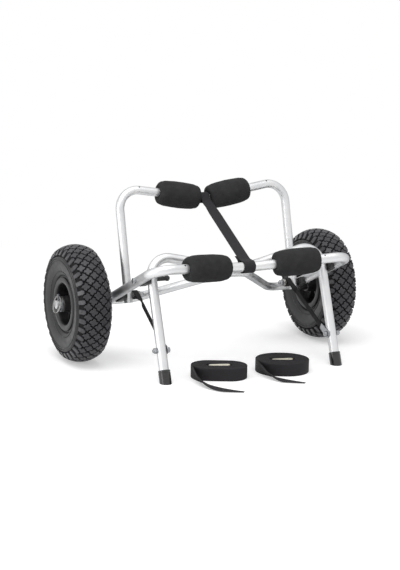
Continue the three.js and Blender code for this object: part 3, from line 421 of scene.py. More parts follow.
def piece(bm, name, material, body, slot, *stands_for):
    """An object of a finished bmesh, in one or more materials, with what it rides on and stands for."""
    mesh = mesh_of(bm, name)
    mesh.shade_smooth()
    mesh.set_sharp_from_angle(angle=SHARP_ANGLE)
    for finish in material if isinstance(material, tuple) else (material,):
        mesh.materials.append(finish)
    made = in_scene(name, mesh)
    if body:
        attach(made, body)
    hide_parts(*stands_for)
    return made


def on_side(bm, sign):
    """A body drawn for the right-hand side, or its mirror image for the left."""
    if sign < 0:
        bmesh.ops.scale(bm, vec=(-1, 1, 1), verts=bm.verts)
        bmesh.ops.reverse_faces(bm, faces=bm.faces)
    return bm


def pieces_on_both_sides(make, name, material, body, slot, node):
    for side, sign in SIDES:
        bm = on_side(make(), sign)
        piece(bm, f"{name}_{side}", material, body.format(side), slot, f"{node}_{side}")


def outward(bm):
    """The body with every face turned outwards."""
    bmesh.ops.recalc_face_normals(bm, faces=bm.faces)
    return bm


def everything(bm):
    return bm.verts[:] + bm.edges[:] + bm.faces[:]


def edges_in(parts):
    return [part for part in parts if isinstance(part, bmesh.types.BMEdge)]


def verts_in(parts):
    return [part for part in parts if isinstance(part, bmesh.types.BMVert)]


def circle(bm, radius, steps, place):
    """The edges of a circle, from which a tube or a wire is drawn."""
    verts = bmesh.ops.create_circle(bm, radius=radius, segments=steps, matrix=place)["verts"]
    return list({edge for vert in verts for edge in vert.link_edges})


def prism(radius, sides, depth):
    """A closed prism along Z about the origin."""
    bm = bmesh.new()
    bmesh.ops.create_cone(bm, cap_ends=True, segments=sides, radius1=radius, radius2=radius, depth=depth)
    return bm


def turned(outline, steps=HARDWARE_STEPS, closed=True):
    """A body turned about X from an outline of (place along X, radius) pairs."""
    bm = bmesh.new()
    verts = [bm.verts.new((along, 0, radius)) for along, radius in outline]
    ends = verts[1:] + verts[:1] if closed else verts[1:]
    edges = [bm.edges.new(pair) for pair in zip(verts, ends)]
    bmesh.ops.spin(bm, geom=verts + edges, axis=(1, 0, 0), angle=2 * math.pi, steps=steps, use_merge=True)
    bmesh.ops.remove_doubles(bm, verts=bm.verts, dist=SMALLEST_EDGE)
    return outward(bm)


def joined(*parts):
    """One bmesh that holds the parts as they are."""
    whole = bmesh.new()
    for part in parts:
        mesh = mesh_of(part)
        whole.from_mesh(mesh)
        bpy.data.meshes.remove(mesh)
    return whole


def cut_away(bm, cutter):
    """The body without what the cutter takes out of it."""
    holders = [in_scene("part", mesh_of(part)) for part in (bm, cutter)]
    cut = holders[0].modifiers.new("cut", "BOOLEAN")
    cut.object = holders[1]
    cut.solver = "EXACT"
    result = bmesh.new()
    result.from_object(holders[0], bpy.context.evaluated_depsgraph_get())
    for holder in holders:
        bpy.data.objects.remove(holder)
    return result


def bevelled(bm, edges, width, segments=2, clamp=True):
    bmesh.ops.bevel(bm, geom=edges, offset=width, offset_type="OFFSET", segments=segments, profile=0.5,
                    affect="EDGES", clamp_overlap=clamp, material=-1)
    return bm


def eased(bm, width, segments=2):
    """Rounds every edge that turns more than EASED_ANGLE."""
    edges = [edge for edge in bm.edges if edge.is_manifold and edge.calc_face_angle(0) > EASED_ANGLE]
    return bevelled(bm, edges, width, segments)


def rod(radius, start, end):
    """A round bar along X."""
    return turned([(start, 0), (start, radius), (end, radius), (end, 0)], closed=False)


def sleeve(inner, outer, start, end):
    return turned([(start, inner), (start, outer), (end, outer), (end, inner)])


def with_mirror(half):
    """A wheel part's outline: the half drawn out from its middle, then the same back down the other side."""
    return half + [(-along, radius) for along, radius in reversed(half) if along]


def moved(bm, matrix):
    bmesh.ops.transform(bm, matrix=matrix, verts=bm.verts)
    return bm


# Bent tubes
def extended(bm, section, step):
    """Draws the section out along a straight run."""
    drawn = bmesh.ops.extrude_edge_only(bm, edges=section)["geom"]
    bmesh.ops.translate(bm, vec=step, verts=verts_in(drawn))
    return edges_in(drawn)


def bent_round(bm, section, centre, axis, turn, steps=None):
    """Draws the section round a centre."""
    steps = steps or max(2, math.ceil(turn / BEND_STEP))
    drawn = bmesh.ops.spin(bm, geom=section, cent=centre, axis=axis, angle=turn, steps=steps)
    return edges_in(drawn["geom_last"])


def close_end(bm, section, heading, mouth):
    """Caps an end. A mouth, if it has one, is a bore of that depth inside the tube's wall."""
    cap = bmesh.ops.edgeloop_fill(bm, edges=section)["faces"]
    if mouth:
        outward(bm)
        bmesh.ops.inset_region(bm, faces=cap, thickness=TUBE_WALL)
        floor = bmesh.ops.extrude_discrete_faces(bm, faces=cap)["faces"]
        verts = {vert for face in floor for vert in face.verts}
        bmesh.ops.translate(bm, vec=-heading * mouth, verts=list(verts))


def bent_tube(corners, radii, diameter, mouth):
    """A round tube drawn along straight runs and bent at each inner corner."""
    bm = bmesh.new()
    heading = (corners[1] - corners[0]).normalized()
    facing = Matrix.Translation(corners[0]) @ heading.to_track_quat("Z", "Y").to_matrix().to_4x4()
    section = first = circle(bm, diameter / 2, TUBE_SIDES, facing)
    first_heading = heading
    place = corners[0]
    for corner, following, radius in zip(corners[1:], corners[2:], radii):
        ahead = (following - corner).normalized()
        turn = heading.angle(ahead)
        setback = radius * math.tan(turn / 2)
        section = extended(bm, section, corner - heading * setback - place)
        axis = heading.cross(ahead).normalized()
        centre = corner - heading * setback + axis.cross(heading) * radius
        section = bent_round(bm, section, centre, axis, turn)
        place = corner + ahead * setback
        heading = ahead
    section = extended(bm, section, corners[-1] - place)
    close_end(bm, first, -first_heading, mouth)
    close_end(bm, section, heading, mouth)
    return outward(bm)


def v_bar_frame(size, mouth=0):
    """A U frame drawn flat: two legs up Z, and a bar between them whose middle dips."""
    half, start, reach = size["half_width"], size["start"], size["reach"]
    corners = [
        Vector((-half, 0, start)),
        Vector((-half, 0, reach)),
        Vector((0, 0, size["middle"])),
        Vector((half, 0, reach)),
        Vector((half, 0, start)),
    ]
    return bent_tube(corners, [size["bend"], MIDDLE_BEND, size["bend"]], size["diameter"], mouth)


def bar_slope(size):
    return math.atan2(size["reach"] - size["middle"], size["half_width"])


def bar_height(size, across):
    return size["middle"] + across * math.tan(bar_slope(size))


def drill_place(size, side, across, place):
    """Where a drill enters the bar: on its upper face, turned a little to the cart's kickstand side."""
    return placed(place @ Vector((side * across, 0, bar_height(size, across))), HOLE_TILT)


def top_holes(size, across, place):
    drills = []
    rise = Matrix.Translation((0, 0, size["diameter"] - HOLE_DEPTH))
    for side in (-1, 1):
        drill = prism(HOLE_DIAMETER / 2, HARDWARE_STEPS, size["diameter"])
        drills.append(moved(drill, drill_place(size, side, across, place) @ rise))
    return joined(*drills)


def drilled(bm, size, across, place):
    """The frame with its two top holes, whose insides take the second material: painted shade for the holes.
    """
    bm = cut_away(bm, top_holes(size, across, place))
    reach = HOLE_DIAMETER / 2 + GAP / 3
    # painted shade: the faces inside each hole take the near-black second material
    for side in (-1, 1):
        into_hole = drill_place(size, side, across, place).inverted()
        for face in bm.faces:
            spots = [into_hole @ vert.co for vert in face.verts]
            if all(math.hypot(spot.x, spot.y) < reach and spot.z > -HOLE_DEPTH for spot in spots):
                face.material_index = 1
    return bm


def make_frames():
    front = moved(v_bar_frame(FRONT_FRAME), AT_FRONT)
    front = drilled(front, FRONT_FRAME, FRONT_HOLE_ACROSS, AT_FRONT)
    cope = moved(rod(AXLE_TUBE / 2 + GAP / 3, -WHEEL_CENTRE, WHEEL_CENTRE), AT_AXLE)
    rear = moved(v_bar_frame(REAR_FRAME, REAR_MOUTH), AT_REAR)
    rear = drilled(rear, REAR_FRAME, REAR_HOLE_ACROSS, AT_REAR)
    kick = moved(v_bar_frame(KICK_FRAME), AT_KICK)
    drilled_tube = (ALUMINIUM, HOLE_PAINTED_SHADE)
    plan = (
        (cut_away(front, cope), "bent_front_frame", drilled_tube, "front_assembly", "front_frame"),
        (rear, "bent_rear_frame", drilled_tube, "rear_assembly", "rear_frame"),
        (kick, "bent_kickstand", ALUMINIUM, "kickstand_assembly", "kickstand"),
    )
    for bm, name, material, body, node in plan:
        piece(bm, name, material, body, "brushed_tube", node)


CRANK_START = 172.5 * MM
CRANK_HALF = 28.7 * MM
CRANK_FORWARD = 150 * MM
CRANK_RISE = 73.6 * MM
CRANK_BEND = 54 * MM
AXLE_RECESS = 1.5 * MM


def make_axle():
    end = Vector((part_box("axle_tube")[1].x, 0, 0))
    half = [Vector((CRANK_HALF, -CRANK_FORWARD, CRANK_RISE)), Vector((CRANK_START, 0, 0)), end]
    other_half = [Vector((-corner.x, corner.y, corner.z)) for corner in reversed(half)]
    axle = bent_tube(other_half + half, [CRANK_BEND] * 4, AXLE_TUBE, AXLE_RECESS)
    piece(moved(axle, AT_AXLE), "cranked_axle", ALUMINIUM, "front_assembly", "brushed_tube", "axle_tube")


make_frames()
make_axle()

# Tyres
TYRE_RADIUS = 130 * MM
TREAD_PITCHES = 35
TREAD_COLUMNS = 2
COLUMN_STEP = 12.1 * MM
TREAD_HALF = 33.5 * MM
TREAD_DEPTH = 4.4 * MM
LAND_SHARE = 0.86
BLOCK_STEP = 0.08
BLOCK_NOTCH = 0.09
LUG_START = 28.6 * MM
LUG_SHOULDER = 33 * MM
LUG_END = 49.6 * MM
CROWN_RADIUS = 58.3 * MM
SHOULDER_RADIUS = 11.8 * MM
RIBS = (
    (101.5 * MM, 2.4 * MM, 1.4 * MM),
    (96.5 * MM, 1.6 * MM, 1 * MM),
    (72 * MM, 2 * MM, 1.1 * MM),
)
GROOVE_END = 105.4 * MM
BLOCK_EASE = 0.7 * MM
BLOCK_TOP = 0.93
BLOCK_ROOT = TREAD_DEPTH + 0.6 * MM
CATMULL_STEPS = 4
RIM_SEAT = 55.8 * MM


def on_tyre(across, angle, height):
    """A point on the tread: across is measured round the crown and shoulder, angle round the wheel."""
    crown_end = math.asin(TREAD_HALF / CROWN_RADIUS)
    travelled = abs(across)
    lean = travelled / CROWN_RADIUS
    if lean > crown_end:
        lean = crown_end + (travelled - crown_end * CROWN_RADIUS) / SHOULDER_RADIUS
    crown = min(lean, crown_end)
    out = CROWN_RADIUS * math.sin(crown) + SHOULDER_RADIUS * (math.sin(lean) - math.sin(crown))
    drop = CROWN_RADIUS * (1 - math.cos(crown)) + SHOULDER_RADIUS * (math.cos(crown) - math.cos(lean))
    out += height * math.sin(lean)
    up = TYRE_RADIUS - drop + height * math.cos(lean)
    return Vector((math.copysign(out, across), -up * math.sin(angle), up * math.cos(angle)))


def tread_block(corners):
    """A block drawn flat from (across, pitches round) corners, eased on top, then rolled on to the tyre."""
    bm = bmesh.new()
    pitch = 2 * math.pi * TYRE_RADIUS / TREAD_PITCHES
    low = [bm.verts.new((across, turn * pitch, -BLOCK_ROOT)) for across, turn in corners]
    base = bm.faces.new(low)
    top = bmesh.ops.extrude_face_region(bm, geom=[base])["geom"]
    raised = verts_in(top)
    bmesh.ops.translate(bm, vec=(0, 0, BLOCK_ROOT), verts=raised)
    middle = sum((vert.co for vert in raised), Vector()) / len(raised)
    bmesh.ops.scale(bm, vec=(BLOCK_TOP, BLOCK_TOP, 1), verts=raised, space=Matrix.Translation(-middle))
    brink = [edge for edge in bm.edges if all(vert in raised for vert in edge.verts)]
    outward(bevelled(bm, brink, BLOCK_EASE, segments=1, clamp=False))
    for vert in bm.verts:
        vert.co = on_tyre(vert.co.x, vert.co.y / TYRE_RADIUS, vert.co.z)
    return bm


def tread_outlines():
    """The blocks of one pitch: staggered columns of stepped diamonds, and a lug over each shoulder."""
    reach = COLUMN_STEP * LAND_SHARE
    half = LAND_SHARE / 2
    inner, outer = 0.5 - BLOCK_STEP, 0.5 + BLOCK_STEP
    quarter = [
        (1, 0), (outer - BLOCK_NOTCH, inner - BLOCK_NOTCH), (inner + BLOCK_NOTCH, outer + BLOCK_NOTCH),
        (0, 1), (BLOCK_NOTCH - inner, outer - BLOCK_NOTCH), (-outer - BLOCK_NOTCH, inner + BLOCK_NOTCH),
    ]
    diamond = quarter + [(-across, -turn) for across, turn in quarter]
    outlines = []
    for column in range(-TREAD_COLUMNS, TREAD_COLUMNS + 1):
        centre = column * COLUMN_STEP
        middle = 0.5 * (column % 2)
        outlines.append([(centre + reach * across, middle + half * turn) for across, turn in diamond])
    lug = [
        (LUG_START, 0.36), (LUG_SHOULDER, 0.24), (LUG_END, 0.24),
        (LUG_END, 0.76), (LUG_SHOULDER, 0.76), (LUG_START, 0.64),
    ]
    outlines.append(lug[::-1])
    outlines.append([(-across, turn) for across, turn in lug])
    return outlines


def catmull(points):
    """A smooth curve through the points between the first and the last."""
    smooth = []
    for i in range(1, len(points) - 2):
        a, b, c, d = (Vector(point) for point in points[i - 1:i + 3])
        for j in range(CATMULL_STEPS):
            t = j / CATMULL_STEPS
            smooth.append(0.5 * (2 * b + (c - a) * t + (2 * a - 5 * b + 4 * c - d) * t ** 2
                                 + (3 * b - a - 3 * c + d) * t ** 3))
    return smooth


def ribbed(wall, radius, width, height):
    """The sidewall's outline with a low square rib standing out of it at one radius."""
    above = [point for point in wall if point[1] > radius + width / 2]
    below = [point for point in wall if point[1] < radius - width / 2]
    (x, r), (next_x, next_r) = above[-1], below[0]
    share = (r - radius) / (r - next_r)
    foot = x + (next_x - x) * share
    rib = [
        (foot, radius + width / 2),
        (foot + height, radius + width / 2 - height / 3),
        (foot + height, radius - width / 2 + height / 3),
        (foot, radius - width / 2),
    ]
    return above + rib + below


def carcass_outline():
    """Half of the casing, from the crown out over the shoulder and down the sidewall to the bead."""
    groove = [on_tyre(TREAD_HALF * share, 0, -TREAD_DEPTH) for share in (0, 0.2, 0.4, 0.6, 0.8, 1)]
    crown = [(point.x, point.z) for point in groove]
    buttress = in_mm((31.6, 113.4), (33.4, 110), (34.2, 106.8), (36.4, 105))
    sidewall = in_mm(
        (37.2, 106), (38.2, 104.2), (39, 100.5), (39.2, 94), (38, 84),
        (35.6, 74), (33, 67.6), (30.4, 64.4), (27, 62.8), (24.2, 62.2),
    )
    wall = [tuple(point) for point in catmull(sidewall)]
    for radius, width, height in RIBS:
        wall = ribbed(wall, radius, width, height)
    bead = [(24.2 * MM, RIM_SEAT), (17 * MM, RIM_SEAT), (32 * MM, 82 * MM), (30 * MM, 108 * MM)]
    return crown + buttress + wall + bead


def carcass():
    casing = turned(with_mirror(carcass_outline()), WHEEL_STEPS)
    # painted shade: casing faces out at the tread, between the blocks, take the darker groove material
    for face in casing.faces:
        middle = face.calc_center_median()
        if math.hypot(middle.y, middle.z) > GROOVE_END:
            face.material_index = 1
    return casing


def make_tyres():
    one_pitch = joined(*(tread_block(outline) for outline in tread_outlines()))
    turn = 2 * math.pi * (1 - 1 / TREAD_PITCHES)
    bmesh.ops.spin(one_pitch, geom=everything(one_pitch), axis=(1, 0, 0), angle=turn,
                   steps=TREAD_PITCHES - 1, use_duplicate=True)
    mesh = mesh_of(joined(carcass(), one_pitch))

    def tyre():
        bm = bmesh.new()
        bm.from_mesh(mesh)
        return moved(bm, AT_WHEEL)

    rubber = (TYRE_RUBBER, GROOVE_RUBBER_PAINTED_SHADE)
    pieces_on_both_sides(tyre, "treaded_tyre", rubber, "wheel_{}", "tyre_rubber", "tyre")
    bpy.data.meshes.remove(mesh)


# Rims
RIM_HALF = 27.5 * MM
RIM_FACE = 34 * MM
RIM_FLANGE = 60.5 * MM
RIM_OPENING = 46 * MM
RIM_INSIDE = RIM_HALF - 3 * MM
HUB_HALF = 35.6 * MM
HUB_RADIUS = 21 * MM
HUB_END_RADIUS = 17 * MM
SPOKES = 6
SPOKE_THICKNESS = 7 * MM
SPOKE_DEPTH = 24 * MM
SPOKE_FOOT_DEPTH = 30 * MM
SPOKE_ROOT = HUB_RADIUS - 3 * MM
SPOKE_TIP = RIM_OPENING + 1 * MM
SPOKE_EASE = 1.2 * MM
BUSH_FLANGE_RADIUS = 16 * MM
BUSH_FLANGE = 2 * MM
BUSH_RADIUS = AXLE_TUBE / 2 + GAP + 2.5 * MM
BUSH_EASE = 0.35 * MM


def make_barrel():
    """The drop-centre barrel with a rolled lip that stands out of the tyre's bead on both faces."""
    half = [
        (11 * MM, 48.5 * MM),
        (15.5 * MM, 55.5 * MM),
        (RIM_INSIDE, 55.5 * MM),
        (RIM_INSIDE, RIM_FLANGE + 1 * MM),
        (RIM_HALF, RIM_FLANGE + 1 * MM),
        (RIM_HALF + 0.6 * MM, RIM_FLANGE - 1 * MM),
        (RIM_FACE - 3 * MM, RIM_FLANGE - 1 * MM),
        (RIM_FACE - 1.6 * MM, RIM_FLANGE - 1.6 * MM),
        (RIM_FACE - 0.4 * MM, RIM_FLANGE - 3.4 * MM),
        (RIM_FACE, RIM_FLANGE - 5.6 * MM),
        (RIM_FACE, RIM_OPENING + 5 * MM),
        (RIM_FACE - 0.5 * MM, RIM_OPENING + 2.6 * MM),
        (RIM_FACE - 1.6 * MM, RIM_OPENING + 1 * MM),
        (RIM_FACE - 3.4 * MM, RIM_OPENING + 0.2 * MM),
        (RIM_INSIDE, RIM_OPENING),
    ]
    return turned(with_mirror(half), WHEEL_STEPS)


def make_hub():
    half = [
        (6 * MM, HUB_RADIUS),
        (12 * MM, HUB_RADIUS),
        (14 * MM, HUB_RADIUS - 1 * MM),
        (HUB_HALF - 4 * MM, HUB_END_RADIUS),
        (HUB_HALF - 0.8 * MM, HUB_END_RADIUS),
        (HUB_HALF, HUB_END_RADIUS - 0.8 * MM),
        (HUB_HALF, BUSH_RADIUS + GAP),
    ]
    return turned(with_mirror(half), WHEEL_STEPS)


def make_spoke(index):
    """A deep flat web from the hub to the barrel, wider where it leaves the hub."""
    bm = bmesh.new()
    bmesh.ops.create_cube(bm, size=1)
    for vert in bm.verts:
        outer = vert.co.z > 0
        depth = SPOKE_DEPTH if outer else SPOKE_FOOT_DEPTH
        height = SPOKE_TIP if outer else SPOKE_ROOT
        vert.co = Vector((vert.co.x * depth, vert.co.y * SPOKE_THICKNESS, height))
    return moved(eased(bm, SPOKE_EASE), Matrix.Rotation(2 * math.pi * (index + 0.5) / SPOKES, 4, "X"))


def make_rim():
    spokes = (make_spoke(index) for index in range(SPOKES))
    return moved(joined(make_barrel(), make_hub(), *spokes), AT_WHEEL)


def make_valve():
    """A short flared valve stem with its cap, standing out of the barrel."""
    stem = turned(in_mm(
        (0, 0), (0, 6), (1.2, 5.6), (2.2, 4), (11, 3.5), (11.4, 2.9),
        (11.9, 2.9), (12, 3.5), (17, 3.4), (18, 2.8), (18, 0),
    ), closed=False)
    low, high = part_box("valve_stem_right")
    return moved(stem, placed(((low.x + high.x) / 2, AXLE.y, high.z), math.pi / 2, "Y"))


def make_bush():
    """The bush lining the hub, with a flange that shows as a pale ring on its outer end."""
    bore = AXLE_TUBE / 2 + GAP
    end = HUB_HALF + GAP
    flanged = turned([
        (-end, bore), (-end, BUSH_RADIUS), (end, BUSH_RADIUS), (end, BUSH_FLANGE_RADIUS),
        (end + BUSH_FLANGE, BUSH_FLANGE_RADIUS), (end + BUSH_FLANGE, bore),
    ])
    return moved(eased(flanged, BUSH_EASE), AT_WHEEL)


make_tyres()
pieces_on_both_sides(make_rim, "moulded_rim", RIM_PLASTIC, "wheel_{}", "black_plastic", "wheel_rim")
pieces_on_both_sides(make_valve, "valve", RUBBER, "wheel_{}", "black_rubber", "valve_stem")
pieces_on_both_sides(make_bush, "hub_bearing", ALLOY, "wheel_{}", "dull_alloy", "hub_bush")

# Axle hardware
COLLAR_RADIUS = 13.5 * MM
WASHER_RADIUS = 16.5 * MM
PIN_RADIUS = 2.5 * MM
PIN_OVERHANG = 5 * MM
PIN_EASE = 0.6 * MM
PIN_HEAD = Vector((6, 8, 9)) * MM
PIN_HEAD_EASE = 1.2 * MM
RING_RADIUS = 19 * MM
RING_WIRE = 1.4 * MM
RING_TILT = math.radians(13)
RING_STEPS = 60
WIRE_SIDES = 14


def ends_of(node):
    """Where a right-hand node starts and ends along X."""
    return [corner.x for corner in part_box(f"{node}_right")]


def make_round_spacers():
    plan = (
        ("axle_collar", "spacer_collar", COLLAR_RADIUS, 0.8 * MM, NYLON, "black_plastic"),
        ("axle_washer", "plated_washer", WASHER_RADIUS, 0.4 * MM, DULL_STEEL, "bright_steel"),
    )
    for node, name, radius, ease, material, slot in plan:
        def ring():
            return moved(eased(sleeve(AXLE_TUBE / 2 + GAP, radius, *ends_of(node)), ease), AT_AXLE)

        pieces_on_both_sides(ring, name, material, "front_assembly", slot, node)


def at_pin(height=0):
    """The cross pin's place on the right-hand end of the axle, or a place straight above it."""
    return AT_AXLE @ Matrix.Translation((middle_of("lock_pin").x, 0, height))


def make_pin():
    """The cross pin through the axle's end, with the square head that the ring snaps round."""
    reach = AXLE_TUBE / 2 + PIN_OVERHANG
    shank = eased(rod(PIN_RADIUS, -reach, reach + GAP), PIN_EASE)
    moved(shank, Matrix.Rotation(-math.pi / 2, 4, "Y"))
    head = bmesh.new()
    bmesh.ops.create_cube(head, size=1)
    bmesh.ops.scale(head, vec=PIN_HEAD, verts=head.verts)
    eased(moved(head, Matrix.Translation((0, 0, reach + PIN_HEAD.z / 2))), PIN_HEAD_EASE, segments=3)
    return moved(joined(shank, head), at_pin())


def make_ring():
    """A wire ring that hangs from the pin's head and leans over the end of the axle."""
    opening = math.asin((PIN_HEAD.y / 2 + 2 * GAP) / RING_RADIUS)
    hinge = RING_RADIUS * math.cos(opening)
    start = Vector((0, RING_RADIUS * math.sin(opening), 0))
    bm = bmesh.new()
    first = circle(bm, RING_WIRE, WIRE_SIDES, placed(start, math.pi - opening))
    turn = 2 * math.pi - 2 * opening
    last = bent_round(bm, first, Vector((0, 0, -hinge)), (-1, 0, 0), turn, RING_STEPS)
    for section in (first, last):
        bmesh.ops.edgeloop_fill(bm, edges=section)
    return moved(outward(bm), at_pin(hinge) @ Matrix.Rotation(-RING_TILT, 4, "Y"))


make_round_spacers()
pieces_on_both_sides(make_pin, "snap_pin", DULL_STEEL, "front_assembly", "bright_steel", "lock_pin")
pieces_on_both_sides(make_ring, "snap_ring", WIRE, "lock_ring_{}", "bright_steel", "lock_ring")

# Foam pads
PAD_RADIUS = 30 * MM
PAD_END_RADIUS = 26.5 * MM
PAD_EDGE = 9 * MM
PAD_EDGE_STEPS = 7
PAD_CROWN_SHARES = [i / 10 for i in range(-7, 8)]
PAD_SEED_STEP = 3.7
PAD_DISH = 2.5 * MM
PAD_LUMP = (17 * MM, 0.45 * MM)
PAD_RIPPLE = (6 * MM, 0.12 * MM)
PAD_SHRINK = 0.4 * MM
REAR_PAD = {"left": (15.4 * MM, 113.5 * MM), "right": (9.6 * MM, 109.8 * MM)}
FRONT_PAD = {"left": (57.9 * MM, 163 * MM), "right": (55.3 * MM, 157 * MM)}


def foam_pad(size, span, seed):
    """A barrel of foam pushed on to the bar, a little uneven, as moulded foam is."""
    start, end = span
    slope = bar_slope(size)
    half = (end - start) / 2 / math.cos(slope)
    bore = size["diameter"] / 2 + GAP
    edge = []
    for i in range(PAD_EDGE_STEPS + 1):
        angle = math.pi / 2 * i / PAD_EDGE_STEPS
        radius = PAD_END_RADIUS - PAD_EDGE + PAD_EDGE * math.cos(angle)
        edge.append((half - PAD_EDGE + PAD_EDGE * math.sin(angle), radius))
    swell = PAD_RADIUS - PAD_END_RADIUS
    crown = [(share * half, PAD_END_RADIUS + swell * (1 - share ** 2)) for share in PAD_CROWN_SHARES]
    lip = (half - PAD_DISH * 0.4, bore + 1.6 * MM)
    throat = (half - PAD_DISH, bore)
    near = [(-along, radius) for along, radius in reversed([*edge, lip, throat])]
    bm = turned(near + crown + [*edge, lip, throat], PAD_STEPS)
    for vert in bm.verts:
        if math.hypot(vert.co.y, vert.co.z) > bore + 1 * MM:
            lump = noise.noise(vert.co / PAD_LUMP[0] + Vector((seed, 0, 0))) * PAD_LUMP[1]
            ripple = noise.noise(vert.co / PAD_RIPPLE[0] + Vector((0, seed, 0))) * PAD_RIPPLE[1]
            vert.co += vert.co.normalized() * (lump + ripple - PAD_SHRINK)
    centre = (start + end) / 2
    return moved(bm, placed((centre, 0, bar_height(size, centre)), -slope, "Y"))


def make_pads():
    plan = (
        ("rear_pad", REAR_FRAME, REAR_PAD, AT_REAR, "rear_assembly"),
        ("front_pad", FRONT_FRAME, FRONT_PAD, AT_FRONT, "front_assembly"),
    )
    for seed, (node, size, spans, place, body) in enumerate(plan):
        for side, sign in SIDES:
            bm = on_side(foam_pad(size, spans[side], PAD_SEED_STEP * seed + sign), sign)
            pad = piece(moved(bm, place), f"foam_{node}_{side}", FOAM, body, "black_foam", f"{node}_{side}")


make_pads()

# Rubber feet
FOOT_RADIUS = 13 * MM
FOOT_HEIGHT = 28 * MM
FOOT_OVERLENGTH = 12 * MM
FOOT_RIM = in_mm((6, 0), (5.4, 0.5), (4.6, 0.5), (4, 0), (0.8, 0), (0, 0.8))


def make_foot():
    """A rubber cup on the leg's end, its sole cut level with the floor."""
    bore = KICK_TUBE / 2 + GAP
    bottom = -FOOT_DROP - FOOT_OVERLENGTH
    top = FOOT_HEIGHT - FOOT_DROP
    seat = FOOT_SOLE - FOOT_DROP - GAP
    wall = [(top - drop, FOOT_RADIUS - depth) for drop, depth in FOOT_RIM]
    outline = [(bottom, 0), (bottom, FOOT_RADIUS), *wall, (top, bore), (seat, bore), (seat, 0)]
    cup = turned(outline, FOOT_STEPS, closed=False)
    moved(cup, AT_KICK @ placed((KICK_FRAME["half_width"], 0, 0), -math.pi / 2, "Y"))
    bmesh.ops.bisect_plane(cup, geom=everything(cup), plane_no=(0, 0, 1), clear_inner=True)
    bmesh.ops.edgeloop_fill(cup, edges=[edge for edge in cup.edges if edge.is_boundary])
    return outward(cup)


pieces_on_both_sides(make_foot, "rubber_foot", RUBBER, "kickstand_assembly", "black_rubber", "foot_cap")

# Bolts, nuts and blocks at the pivots
BOLT_RADIUS = 4 * MM
BOLT_EASE = 0.7 * MM
HEAD_DEPTH = 5.5 * MM
HEAD_OVERLAP = 0.5 * MM
HEX_FLATS = 11 * MM
HEX_EASE = 0.6 * MM
REAR_SLEEVE_RADIUS = 8 * MM
KICK_SLEEVE_RADIUS = 5 * MM
SLEEVE_EASE = 0.5 * MM
CAD_SMALLEST_EDGE = 0.01 * MM
CAD_FLAT_ANGLE = math.radians(1)
BRIGHT_STEEL = (STEEL, "bright_steel")
BLACK_NYLON = (NYLON, "black_plastic")
DULL_ALLOY = (ALLOY, "dull_alloy")


def hexagon(start, end):
    """A hexagon along X with eased ends."""
    bm = prism(HEX_FLATS / math.cos(math.pi / 6) / 2, 6, end - start)
    ends = [edge for edge in bm.edges if abs(edge.verts[0].co.z - edge.verts[1].co.z) < GAP]
    return moved(bevelled(bm, ends, HEX_EASE), placed(((start + end) / 2, 0, 0), math.pi / 2, "Y"))


def hex_bolt(head, tip):
    """A bolt along X, from the outer face of its head to its tip."""
    inward = math.copysign(1, tip - head)
    shank = head + inward * (HEAD_DEPTH - HEAD_OVERLAP)
    return joined(
        hexagon(*sorted((head, head + inward * HEAD_DEPTH))),
        eased(rod(BOLT_RADIUS, *sorted((shank, tip))), BOLT_EASE),
    )


def hex_nut(start, end):
    return cut_away(hexagon(start, end), rod(BOLT_RADIUS + GAP, start - GAP, end + GAP))


def fasten(place, body, *plan):
    """The pieces threaded on one pivot, each drawn along X between the ends of its right-hand node."""
    for node, name, draw, (material, slot) in plan:
        def fitted():
            return moved(draw(*ends_of(node)), Matrix.Translation((0, place.y, place.z)))

        pieces_on_both_sides(fitted, name, material, body, slot, node)


def make_pivot(pivot, place, sleeve_radius, sleeve_finish, nut_finish):
    def bolt(start, end):
        return hex_bolt(end, start)

    def spacer(start, end):
        return eased(sleeve(BOLT_RADIUS + GAP, sleeve_radius, start, end), SLEEVE_EASE)

    fasten(
        place, "front_assembly",
        (f"{pivot}_pivot_bolt", f"{pivot}_hex_bolt", bolt, BRIGHT_STEEL),
        (f"{pivot}_pivot_nut", f"{pivot}_hex_nut", hex_nut, nut_finish),
        (f"{pivot}_pivot_sleeve", f"{pivot}_spacer", spacer, sleeve_finish),
    )


def refined(node, ease):
    """A CAD node's own shape with its faces joined up and its edges rounded."""
    bm = bmesh.new()
    bm.from_mesh(frame["nodes"][node].data)
    bmesh.ops.remove_doubles(bm, verts=bm.verts, dist=CAD_SMALLEST_EDGE)
    bmesh.ops.dissolve_limit(bm, angle_limit=CAD_FLAT_ANGLE, verts=bm.verts, edges=bm.edges)
    return eased(bm, ease)


def body_of_node(node):
    return frame["nodes"][node]["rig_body"]


def make_refined():
    plan = (
        ("rear_pivot_block", "rear_block", BLACK_NYLON, 1.2 * MM),
        ("kick_pivot_block", "kick_block", BLACK_NYLON, 1.2 * MM),
        ("stay_clip", "end_clip", BRIGHT_STEEL, 0.5 * MM),
    )
    for node, name, (material, slot), ease in plan:
        for side, _ in SIDES:
            full = f"{node}_{side}"
            piece(refined(full, ease), f"{name}_{side}", material, body_of_node(full), slot, full)


make_pivot("rear", REAR_PIVOT, REAR_SLEEVE_RADIUS, DULL_ALLOY, BRIGHT_STEEL)
make_pivot("kick", KICK_PIVOT, KICK_SLEEVE_RADIUS, BLACK_NYLON, BLACK_NYLON)
make_refined()
fasten(
    middle_of("stay_bolt"), "kickstand_assembly",
    ("stay_bolt", "stay_screw", hex_bolt, BRIGHT_STEEL),
    ("stay_nut", "stay_hex_nut", hex_nut, BRIGHT_STEEL),
)


